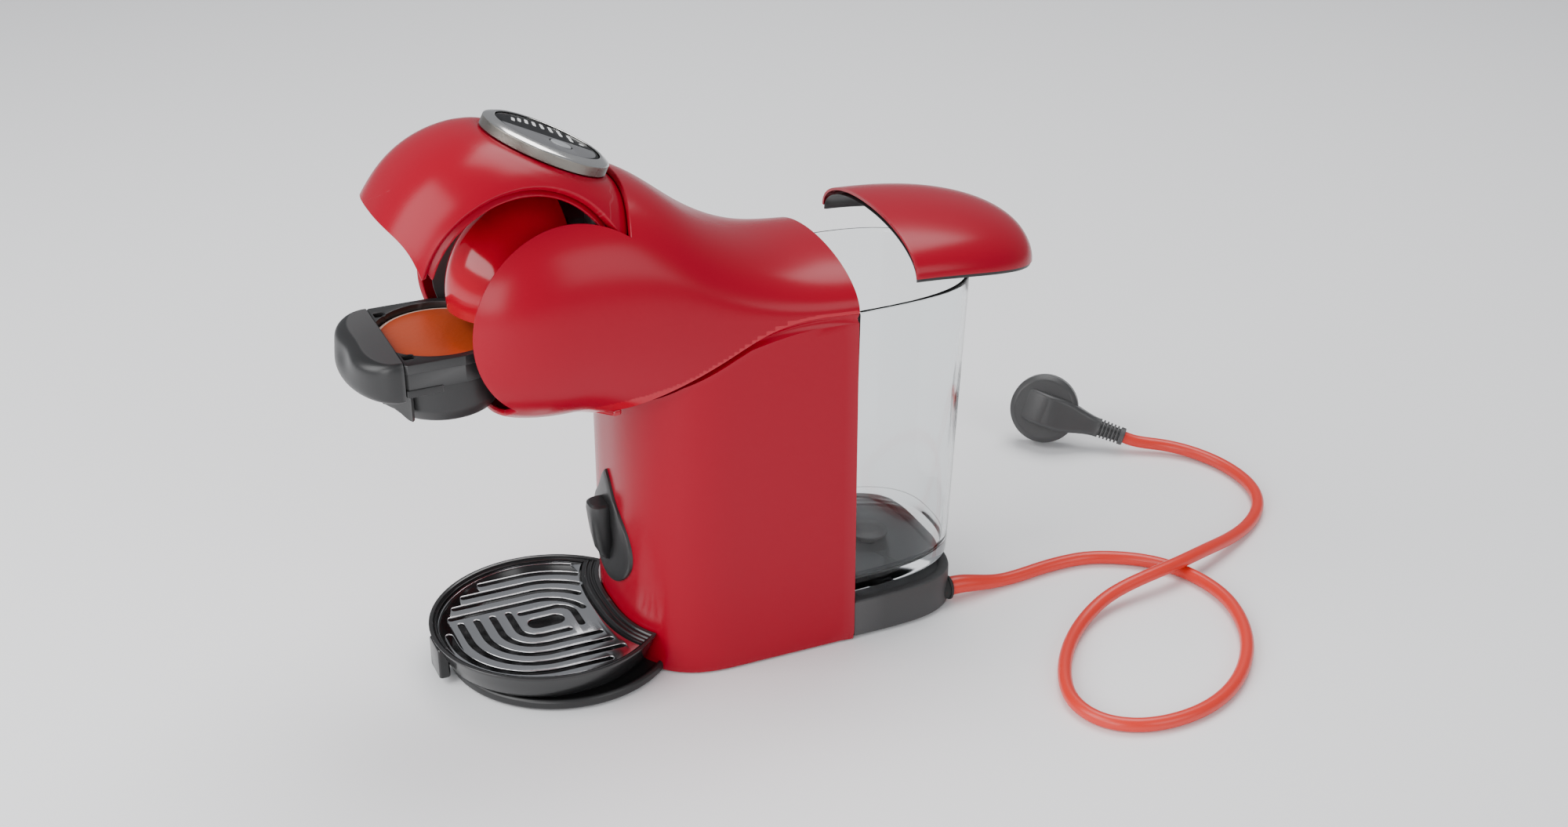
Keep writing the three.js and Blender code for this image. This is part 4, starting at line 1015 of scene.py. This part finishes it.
def build_grip(mat):
    """The bulging front grip: a half superellipse plan whose top and bottom edges roll over, with a
    hollow for the thumb pressed into its front."""
    count = fine(90)
    angle = np.linspace(0, np.pi, count)
    rows = []
    for z in np.concatenate([[169.0], 169 + 19.6 * (1 - np.cos(np.linspace(0, np.pi, fine(36)))) / 2, [188.6]]):
        t = (z - 169) / 19.6
        roll = 1 - (abs(2 * t - 1)) ** 4.5
        half = 34.0 - 2.4 * (1 - max(roll, 0) ** 0.5)
        depth = 22.0 * (0.62 + 0.38 * max(roll, 0) ** 0.55)
        x = half * np.cos(angle)
        y = -213.9 - depth * np.sin(angle) ** 0.75
        thumb = np.exp(-((x / 14) ** 2)) * math.exp(-(((z - 184) / 6.5) ** 2))
        y = y + 3.4 * thumb
        rows.append(np.column_stack([x, y, np.full(count, z)]))
    rings = np.array(rows)
    points, faces = grid(rings, close_v=True)
    last = (len(rings) - 1) * count
    faces.append(list(range(count))[::-1])
    faces.append([last + i for i in range(count)])
    points, faces = outward(points, faces)
    mesh_piece("HolderGrip", (points, faces), "holder", mat["black"], ["holder_grip"], sharp=40)


def pod(mat):
    """The capsule: an aluminium cup and its foil lid with a curled rim."""
    top = POD_TOP
    shape = rounded_corner(
        [(0, top - 30), (16, top - 30), (21.5, top - 29), (26.2, top - 3), (29.2, top - 2.4), (29.6, top - 1.4), (28.8, top - 0.7), (27.4, top - 0.9), (25.2, top - 1.3), (20.4, top - 28.6), (0, top - 28.8)],
        0.7,
    )
    cup = turned(shape, 96, 0, POD_Y)
    mesh_piece("PodCup", outward(*cup), "pod", mat["pale"], ["pod_cup"])
    foil = turned([(0, top - 0.9), (27.2, top - 0.85), (27.4, top - 0.55), (26.6, top - 0.35), (14, top - 0.05), (0, top)], 96, 0, POD_Y)
    mesh_piece("PodFoil", outward(*foil), "pod", mat["foil"], ["pod_foil"])


# ---- tank and lid ----------------------------------------------------------------------------------------
def tank_ring(half, length, front, z, exponent, count=90):
    """One plan ring of the tank at height z: flat front with rounded corners, bowed rear."""
    angle = np.linspace(0, np.pi, fine(count))
    x = half * power(np.cos(angle), 2 / exponent)
    y = front + length * np.abs(np.sin(angle)) ** (2 / exponent)
    face = np.column_stack([np.linspace(-half, half, 40)[1:-1], np.full(38, front)])
    ring = np.concatenate([np.column_stack([x, y]), face])
    return np.column_stack([ring, np.full(len(ring), z)])


def build_tank(mat):
    def ring(t, wall, z, lift=0.0):
        half = 44.5 + 5.4 * t - wall
        length = 71 + 5.4 * t - 2 * wall
        return tank_ring(half, length, 0.8 + wall, z, 2.8 + 0.2 * t)

    rows = []
    for k in range(7):
        turn = math.pi / 2 * k / 6
        rows.append(ring(0, 2.2 * (1 - math.sin(turn)), 22.2 + 2.2 * (1 - math.cos(turn))))
    for z in np.linspace(26, 178, 24):
        rows.append(ring((z - 23) / 157.6, 0, z))
    rows += [ring(1, 0, 179.2), ring(1, 0, 180.2), ring(1, 0.2, 180.6), ring(1, 1.5, 180.6), ring(1, 1.9, 180.2)]
    for z in np.linspace(178, 33, 20):
        rows.append(ring((z - 23) / 157.6, 2.2, z))
    for k in range(7):
        turn = math.pi / 2 * k / 6
        rows.append(ring(0, 2.2 + 4.5 * (1 - math.cos(turn)), 33 - 5.3 * math.sin(turn)))
    rings = np.array(rows)
    points, faces = grid(rings, close_v=True)
    count = rings.shape[1]
    last = (len(rings) - 1) * count
    faces.append(list(range(count))[::-1])
    faces.append([last + i for i in range(count)])
    points, faces = outward(points, faces)
    mesh_piece("TankBody", (points, faces), "tank", mat["clear"], ["tank_body"], sharp=40)
    valve = turned(
        rounded_corner([(0, 18), (4, 18), (4, 22.9), (6.1, 22.9), (6.1, 27.8), (10, 28.0), (10, 29.4), (5, 30.4), (0, 30.4)], 0.4),
        64, 0, 33,
    )
    mesh_piece("TankValve", outward(*valve), "tank", mat["dark"], ["tank_valve"])


def lid_shape(y, inset):
    """Half width, rim height and crown height of the lid at y before it is lifted off."""
    share = np.clip(np.asarray(y, float) / 82, 0, 0.99999)
    half = 53.4 * (1 - share**3) ** (1 / 3) - inset
    drop = 13 * (0.7 * share**2 + 0.3 * share)
    rim = 183.2 - drop
    crown = 183.2 + (19.9 - inset) * (1 - share**2.6) ** (1 / 2.6) - 0.55 * drop
    return half, rim, crown


def lid_rows(inset, low, from_y, to_y, count=70, sides=100):
    """Arched rings strung back along the lid."""
    t = np.linspace(0, 1, fine(count))
    ys = from_y + (to_y - from_y) * np.sin(t * np.pi / 2)
    half, rim, crown = lid_shape(ys, inset)
    angle = np.linspace(0, np.pi, fine(sides))
    half, tall = np.maximum(half, 0.3), np.maximum(crown - rim, 0.4)
    x = half[:, None] * power(np.cos(angle), 0.96)
    z = (rim + low)[:, None] + tall[:, None] * np.abs(np.sin(angle)) ** 0.96
    return np.stack([x, np.broadcast_to(ys[:, None], x.shape), z], -1)


def lid_solid(outer, inner):
    """A lid shell from an outer and an inner skin of the same size, each closed at its rear end,
    joined along their open front and lower edges."""
    a = outer.reshape(-1, 3)
    rows, cols = outer.shape[:2]
    skin, faces = grid(outer)
    hollow, inside = grid(inner)
    count = len(a)
    faces = faces + [[count + i for i in f[::-1]] for f in inside]
    index = np.arange(rows * cols).reshape(rows, cols)
    faces.append([int(i) for i in index[-1]])
    faces.append([int(i) + count for i in index[-1][::-1]])
    edge = list(index[0, :]) + list(index[1:, -1]) + list(index[::-1, 0][:-1])
    for i, j in zip(edge, edge[1:] + edge[:1]):
        faces.append([int(j), int(i), int(i) + count, int(j) + count])
    return outward(np.concatenate([skin, hollow]), faces)


def build_lid(mat):
    move = np.array([0, 29.5, 10.5])
    outer = lid_rows(0, 0, 0.6, 81.98)
    inner = lid_rows(1.5, 0.0, 0.62, 80.2)
    points, faces = lid_solid(outer, inner)
    mesh_piece("LidShell", (points + move, faces), "lid", mat["red"], ["lid_shell"])
    outer = lid_rows(1.6, -2.2, 0.9, 79.6)
    inner = lid_rows(2.1, -2.2, 2.4, 78.7)
    points, faces = lid_solid(outer, inner)
    mesh_piece("LidLiner", (points + move, faces), "lid", mat["black"], ["lid_liner"])


def build_platform(mat):
    def plan(inset):
        return tank_ring(52.6 - inset, 66 - 2 * inset, 0.4 + inset, 0, 4)[:, :2]

    profile = [(1.5, 1.2), (0.6, 1.5), (0, 2.4), (0, 20.4), (0.3, 21.3), (1.0, 21.8), (4.2, 21.8), (5.0, 21.4), (5.4, 20.2), (8, 20.0), (40, 20.0)]
    points, faces = stack(plan, profile)
    points, faces = outward(points, faces)
    mesh_piece("TankPlatform", (points, faces), "body", mat["dark"], ["tank_platform"])
    gland = turned([(3.6, -16), (6, -16), (6, 0.5), (6.6, 0.7), (6.8, 1.6), (6.2, 2.2), (4.7, 2.9), (3.9, 3.0), (3.6, 2.4)], 48)
    p = gland[0]
    p = np.column_stack([38 + p[:, 0], 59.7 + p[:, 2], 8 + p[:, 1]])
    mesh_piece("CordGland", outward(p, gland[1]), "body", mat["rubber"], ["cord_gland"])


# ---- tray, grate, foot and hook ------------------------------------------------------------------------------
def crescent(radius, gap, count=150):
    """The tray's plan: a disc with the column's nose cut out of its rear, gap away from it."""
    front = lambda x: body_front(x, gap)
    xs = np.linspace(0, radius, 4000)
    circle = TRAY_Y + np.sqrt(np.maximum(radius**2 - xs**2, 0))
    wall = front(xs)
    cross = np.nonzero(circle < wall)[0]
    x_end = xs[cross[0]] if len(cross) else radius
    start = math.atan2(float(front(x_end)) - TRAY_Y, x_end)
    turn = np.linspace(start, -np.pi - start, fine(count))
    outer = np.column_stack([radius * np.cos(turn), TRAY_Y + radius * np.sin(turn)])
    inner_x = np.linspace(-x_end, x_end, fine(count) // 2)[1:-1]
    inner = np.column_stack([inner_x, front(inner_x)])
    return np.concatenate([outer, inner])


def build_tray(mat):
    rows = []
    steps = [
        (47, 1.2, 7.6), (49.4, 1.0, 6.95), (50.6, 0.9, 7.0), (51.9, 0.8, 7.8), (52.8, 0.8, 9.5), (55.4, 0.8, 15), (57.6, 0.8, 20.2),
        (58.3, 0.8, 21.6), (58.4, 0.8, 22.2), (58.1, 1.0, 22.4), (56.9, 2.6, 22.4), (56.4, 3.0, 22.1), (56.2, 3.3, 21.4),
        (56.1, 4.2, 21.2), (56.0, 4.6, 21.9), (55.9, 5.2, 21.9), (55.8, 5.6, 21.2), (55.6, 6.6, 21.1), (55.5, 7.0, 21.8), (55.4, 7.6, 21.8),
        (55.2, 8.0, 21.1), (54.9, 9.3, 20.9), (54.8, 9.6, 19.1), (53.2, 9.9, 19.0), (52.8, 10.2, 18.5), (49.5, 10.6, 10.5), (47.6, 11.6, 9.1), (44, 14, 9.1),
    ]
    for radius, gap, z in steps:
        ring = crescent(radius, gap)
        rows.append(np.column_stack([ring, np.full(len(ring), z)]))
    rings = np.array(rows)
    points, faces = grid(rings, close_v=True)
    count = rings.shape[1]
    last = (len(rings) - 1) * count
    faces.append(list(range(count))[::-1])
    faces.append([last + i for i in range(count)])
    points, faces = outward(points, faces)
    tab = block(-8, 8, -203.2, -197.6, 3.6, 20.5, 1.2)
    mesh_piece("DripTray", joined((points, faces), tab), "tray", mat["tray"], ["drip_tray"])
    build_grate(mat)


def slot_outline(path, width):
    """The outline of a slot with round ends along a path."""
    p = np.asarray(path, float)
    t = np.gradient(p, axis=0)
    t /= np.linalg.norm(t, axis=1)[:, None]
    n = np.column_stack([-t[:, 1], t[:, 0]])
    half = width / 2
    turn = np.linspace(0, np.pi, 9)[1:-1]
    end = [p[-1] + half * (n[-1] * math.cos(a) + t[-1] * math.sin(a)) for a in turn]
    start = [p[0] + half * (-n[0] * math.cos(a) - t[0] * math.sin(a)) for a in turn]
    return np.concatenate([p + n * half, np.array(end), (p - n * half)[::-1], np.array(start)])


def curve_arc(cx, cy, r, start, end, count=24):
    """Points on an arc, degrees from +X."""
    turn = np.radians(np.linspace(start, end, count))
    return np.column_stack([cx + r * np.cos(turn), cy + r * np.sin(turn)])


def build_grate(mat):
    """A thin steel plate whose slots follow two families of quarter turns."""
    outline = crescent(54.2, 10.4)
    holes = []
    for r, low, end in ((22, -189, (-2.0, -125.3)), (30.5, -184.7, (-15.3, -123)), (39, -177.4, (-24.2, -119.6)), (47.5, -166, (-34, -117.5))):
        cx, cy = 4.7, -146
        last = 180 - math.degrees(math.atan2(end[1] - cy, cx - end[0]))
        leg = np.column_stack([np.full(10, cx - r), np.linspace(low, cy, 10, endpoint=False)])
        holes.append(slot_outline(np.concatenate([leg, curve_arc(cx, cy, r, 180, last)]), 3.4))
    for r, high in ((10, -138), (18.2, -124.9), (26.4, -122.6), (34.6, -119.2), (42.8, -128.5)):
        cx, cy = 4.7, -151.5
        lead = np.column_stack([np.linspace(-10.3, cx, 6, endpoint=False), np.full(6, cy - r)])
        up = np.column_stack([np.full(10, cx + r), np.linspace(cy, high, 11)[1:]])
        arc = curve_arc(cx, cy, r, 270, 360)
        if r > 42:
            lead = lead[3:]
        holes.append(slot_outline(np.concatenate([lead, arc, up]), 3.4))
    holes.append(slot_outline(np.column_stack([np.full(8, 3.2), np.linspace(-151, -141.4, 8)]), 9.4))
    over = np.concatenate(
        [np.column_stack([np.full(8, -8.0), np.linspace(-155.7, -139, 8, endpoint=False)]), curve_arc(0.5, -139, 8.5, 180, 90), [[8, -130.5], [12, -130.6]]]
    )
    holes.append(slot_outline(over, 3.4))
    points, faces = plate_with_holes(outline, holes, 19.05, 20.35, 0.35)
    mesh_piece("DripGrate", (points, faces), "grate", mat["steel"], ["drip_grate"], sharp=50)


def build_foot(mat):
    disc = turned(
        rounded_corner([(0, 1.0), (55.4, 1.0), (56.4, 2.2), (56.4, 5.2), (55.4, 6.3), (54.2, 6.3), (53.4, 4.2), (0, 4.1)], 0.5),
        160, 0, -137.9,
    )
    points, faces = outward(*disc)
    mesh_piece("FrontFoot", (points, faces), "body", mat["black"], ["front_foot"])


def build_hook(mat):
    """The teardrop panel, wrapped on the column's nose, and the knob that the tray hangs on."""
    line = [(0, 97), (3.7, 93), (9, 85), (16.5, 77), (22.5, 69), (25.2, 61), (24.6, 53), (19.5, 45), (11, 39), (3, 36.6), (0, 36.3)]
    right, _ = path_points(line, 1.2)
    loop = np.concatenate([right, (right * [-1, 1])[::-1][1:-1]])
    middle = np.array([0, 62.0])
    rows = []
    for share, out in ((1.0, 0.05), (1.0, 1.2), (0.985, 1.7), (0.96, 1.9), (0.8, 1.95), (0.6, 1.95), (0.4, 1.9), (0.3, 1.2)):
        flat = middle + (loop - middle) * share
        rows.append(np.column_stack([flat[:, 0], body_front(flat[:, 0], out), flat[:, 1]]))
    points, faces = grid(np.array(rows), close_v=True)
    count = len(loop)
    faces.append(list(range(count))[::-1])
    last = (len(rows) - 1) * count
    faces.append([last + i for i in range(count)])
    points, faces = outward(points, faces)
    mesh_piece("HookPanel", (points, faces), "body", mat["black"], ["hook_panel"])
    rows = []
    for z, half, y in ((47.5, 3.0, -112.5), (49, 4.4, -115), (54, 5.6, -117.6), (62, 6.6, -119.2), (70, 7.0, -120.3), (76, 7.2, -120.9), (79, 6.6, -120.6), (80, 5.4, -119.6)):
        rear = -109.0
        depth = (rear - y) / 2
        turn = np.linspace(0, 2 * np.pi, 40, endpoint=False)
        rows.append(np.column_stack([half * power(np.cos(turn), 0.7), (rear + y) / 2 + depth * power(np.sin(turn), 0.7), np.full(40, z)]))
    points, faces = grid(np.array(rows), close_v=True)
    faces.append(list(range(40))[::-1])
    faces.append([(len(rows) - 1) * 40 + i for i in range(40)])
    mesh_piece("TrayHook", outward(points, faces), "body", mat["black"], ["tray_hook"])


# ---- cord and plug ---------------------------------------------------------------------------------------------
CORD_ROUTE = [
    (38, 62.6, 8), (38.1, 68, 7.8), (38.4, 76, 6.7), (38.3, 88, 4.6), (37.6, 101, 3.7), (35.8, 117, 3.7), (35, 132, 3.7),
    (36.6, 147, 3.7), (42.5, 161, 3.7), (52, 174, 3.7), (66, 184.5, 3.7), (82, 190.2, 3.7), (100, 191.6, 3.7),
    (119, 187.6, 3.7), (138, 179, 3.7), (156, 165.5, 3.7), (171, 148, 3.7), (180.6, 128, 3.7), (183.6, 108, 3.7),
    (180.4, 89.5, 3.7), (170.4, 76, 3.7), (153.5, 70.8, 3.7), (132, 76.8, 3.7), (110.5, 91, 3.7), (91.5, 111, 4.4),
    (80, 133.5, 7.6), (75.6, 157, 10.4), (71.5, 180, 11.2), (63.5, 204, 9.6), (52, 229, 5.6), (40, 249, 3.8),
    (26.5, 263.5, 3.7), (9, 272.5, 3.7), (-9, 274.8, 3.7), (-26, 272.2, 3.9), (-42, 264.6, 4.6), (-55, 251.8, 5.8),
    (-65.4, 236.2, 8), (-68.4, 232.4, 9.6),
]
PLUG_AT = np.array([-97.6, 197.3, 21.5])


def plug_frame():
    """The plug's axes as columns: along to the cord, across, and out of its back."""
    along = np.array([0.622, 0.742, -0.252])
    along /= np.linalg.norm(along)
    across = np.cross(np.array([0.79, -0.52, 0.36]), along)
    across /= np.linalg.norm(across)
    return np.column_stack([along, across, np.cross(along, across)])


def build_plug(mat):
    """A round moulded plug: a disc with a soft rim, a hump across its back that narrows towards the
    cord, a ribbed relief with a collar, and two pins in front."""
    axes = plug_frame()
    rim = [(0, -7.5), (18.6, -7.5), (20, -6.2), (20, -1.0), (19.7, -0.7), (19.7, -0.2), (20, 0.1), (20, 5.2), (17.2, 7.4), (0, 7.5)]
    disc = outward(*turned(rounded_corner(rim, 0.7), 112))
    rows = []
    for share in np.linspace(0, 1, 26):
        x = -12 + 45.4 * share
        half = 9.6 - 4.2 * smooth((share - 0.45) / 0.55)
        high = 7 + 7.2 * math.sin(min(share / 0.34, 1) * math.pi / 2) - 8.6 * smooth((share - 0.3) / 0.7)
        low = -5.6 + 0.6 * share
        flat = rounded_rectangle(0, (high + low) / 2, half, (high - low) / 2, 2.6, 6)
        rows.append(np.column_stack([np.full(len(flat), x), flat]))
    points, faces = grid(np.array(rows), close_v=True)
    count = len(rows[0])
    faces.append(list(range(count))[::-1])
    faces.append([25 * count + i for i in range(count)])
    points, faces = joined(disc, outward(points, faces))
    mesh_piece("PlugBody", (place(points, axes, PLUG_AT), faces), "body", mat["plug"], ["plug_body"])
    xs, radii = [], []
    for k in range(6):
        x = 33.2 + 2.2 * k
        r = 5.7 - 0.1 * k
        xs += [x, x + 0.15, x + 1.1, x + 1.25, x + 2.05]
        radii += [r - 1.3, r, r, r - 1.3, r - 1.3]
    xs += [46.4, 46.6, 49.2, 49.5]
    radii += [4.1, 5.3, 5.2, 4.4]
    relief = tube([(x, 0, 0) for x in xs], radii, 36)
    mesh_piece("PlugRelief", (place(relief[0], axes, PLUG_AT), relief[1]), "body", mat["plug"], ["plug_relief"])
    for name, y in (("a", 9.5), ("b", -9.5)):
        pin = turned(rounded_corner([(0, -26.2), (1.6, -26.2), (2.4, -24.8), (2.4, -7.0), (0, -7.0)], 0.5), 32, 0, y)
        points, faces = outward(*pin)
        points = place(points, axes, PLUG_AT)
        mesh_piece(f"PlugPin_{name}", (points, faces), "body", mat["bevel"], [f"plug_pin_{name}"])


def build_cord(mat):
    path, length = path_points(CORD_ROUTE, 1.5)
    radius = settings().cord_diameter / MM / 2
    lifted = path + [0, 0, 0.0]
    reach = np.minimum(np.arange(len(path)) * 1.5, 1e9)
    radii = radius + 1.5 * (1 - smooth(reach / 34))
    points, faces = tube(lifted, radii, 28)
    cord = mesh_piece("MainsCord", (points, faces), "body", mat["cord"], ["mains_cord"], sharp=60)


# ---- pieces that stay as the CAD drew them ------------------------------------------------------------------------
CARRIED = {
    "rear_panel": "dark", "base_plate": "dark", "cheek_liner_left": "black", "cheek_liner_right": "black",
    "hinge_pin_left": "steel", "hinge_pin_right": "steel", "needle_guide": "black", "valve_seal": "rubber",
    "foot_pad_front_left": "rubber", "foot_pad_front_right": "rubber", "foot_pad_rear_left": "rubber",
    "foot_pad_rear_right": "rubber", "chassis": "dark", "pump_body": "steel", "pump_mount": "rubber",
    "thermoblock": "aluminium", "flow_meter": "grey", "control_board": "board", "hot_water_tube": "grey",
    "press_plate": "black", "needle": "steel",
}


def dress_cad(mat):
    """Gives every CAD piece that is still shown its finish and a small bevel on its edges."""
    for name, key in CARRIED.items():
        made = bpy.data.objects.get(name)
        if made is None:
            continue
        made.data.materials.clear()
        made.data.materials.append(mat[key])
        bevel = made.modifiers.new("Edges", "BEVEL")
        bevel.width = 0.0003
        bevel.segments = 2
        bevel.limit_method = "ANGLE"
        bevel.angle_limit = math.radians(35)


# ---- stage ---------------------------------------------------------------------------------------------------------
def build_stage():
    """A plain pale floor, a pale sky, one broad soft light and a weak fill, and the camera."""
    mesh = bpy.data.meshes.new("Floor")
    mesh.from_pydata([(-4, -4, 0), (4, -4, 0), (4, 4, 0), (-4, 4, 0)], [], [[0, 1, 2, 3]])
    floor = bpy.data.objects.new("Floor", mesh)
    bpy.context.scene.collection.objects.link(floor)
    pale = bpy.data.materials.new("StageFloor")
    pale.use_nodes = True
    pale.node_tree.nodes["Principled BSDF"].inputs["Base Color"].default_value = (0.93, 0.93, 0.94, 1)
    pale.node_tree.nodes["Principled BSDF"].inputs["Roughness"].default_value = 0.6
    mesh.materials.append(pale)
    world = bpy.data.worlds.new("Sky")
    world.use_nodes = True
    world.node_tree.nodes["Background"].inputs["Color"].default_value = (0.92, 0.95, 1.0, 1)
    world.node_tree.nodes["Background"].inputs["Strength"].default_value = 0.36
    bpy.context.scene.world = world
    for name, at, size, energy in (
        ("KeyLight", (0.05, -1.25, 1.05), 1.3, 28.0),
        ("FrontLight", (0.85, -0.75, 0.42), 0.5, 5.0),
        ("SideLight", (1.5, 0.7, 0.9), 0.9, 8.0),
        ("TopLight", (-0.5, 0.5, 1.6), 1.1, 22.0),
    ):
        data = bpy.data.lights.new(name, "AREA")
        data.size = size
        data.energy = energy
        lamp = bpy.data.objects.new(name, data)
        lamp.location = at
        lamp.rotation_euler = (Vector((0, 0, 0.12)) - Vector(at)).to_track_quat("-Z", "Y").to_euler()
        bpy.context.scene.collection.objects.link(lamp)
    data = bpy.data.cameras.new("Camera")
    data.lens = 50.47
    data.sensor_width = 36
    camera = bpy.data.objects.new("Camera", data)
    camera.location = (0.89867, -0.35523, 0.60854)
    camera.rotation_euler = tuple(math.radians(a) for a in (63.023, 0, 65.897))
    bpy.context.scene.collection.objects.link(camera)
    bpy.context.scene.camera = camera


# ---- operators -----------------------------------------------------------------------------------------------------
def operator(word, label, text, work):
    """An operator class that builds one group of pieces."""

    def execute(self, context):
        work(palette())
        return {"FINISHED"}

    body = {"bl_idname": f"pod_machine.{word}", "bl_label": label, "__doc__": text, "execute": execute}
    return type(f"POD_OT_{word}", (bpy.types.Operator,), body)


OPERATORS = [
    operator("column", "Column", "Build the column", build_column),
    operator("head", "Head", "Build the head and the outlet tongue", build_head),
    operator("handle", "Handle", "Build the handle and its dial", build_handle),
    operator("press", "Press", "Build the jaw that presses on the pod", build_press),
    operator("hinge", "Hinge", "Build the hinge block", build_hinge),
    operator("holder", "Holder", "Build the pod holder and the pod", build_holder),
    operator("tank", "Tank", "Build the water tank", build_tank),
    operator("lid", "Lid", "Build the tank lid", build_lid),
    operator("platform", "Platform", "Build the platform under the tank", build_platform),
    operator("tray", "Tray", "Build the drip tray and its grate", build_tray),
    operator("foot", "Foot", "Build the front foot", build_foot),
    operator("hook", "Hook", "Build the panel and the tray hook", build_hook),
    operator("plug", "Plug", "Build the mains plug", build_plug),
    operator("cord", "Cord", "Build the mains cord", build_cord),
    operator("dress", "Carried pieces", "Finish the pieces carried over from the CAD", dress_cad),
    operator("stage", "Stage", "Floor, lights and camera", lambda mat: build_stage()),
]


class PodMachinePanel(bpy.types.Panel):
    """Settings and one button for each group of pieces."""

    bl_label = "Pod machine"
    bl_idname = "VIEW3D_PT_pod_machine"
    bl_space_type = "VIEW_3D"
    bl_region_type = "UI"
    bl_category = "Pod machine"

    def draw(self, context):
        self.layout.prop(settings(), "fineness")
        self.layout.prop(settings(), "wear")
        self.layout.prop(settings(), "cord_diameter")
        for made in OPERATORS:
            self.layout.operator(made.bl_idname)


def register():
    for made in [PodMachineSettings, *OPERATORS, PodMachinePanel]:
        bpy.utils.register_class(made)
    bpy.types.Scene.pod_machine = bpy.props.PointerProperty(type=PodMachineSettings)


def unregister():
    del bpy.types.Scene.pod_machine
    for made in reversed([PodMachineSettings, *OPERATORS, PodMachinePanel]):
        bpy.utils.unregister_class(made)


def main():
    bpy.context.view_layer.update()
    register()
    for made in OPERATORS:
        getattr(bpy.ops.pod_machine, made.bl_idname.split(".")[1])()


if __name__ == "__main__":
    main()
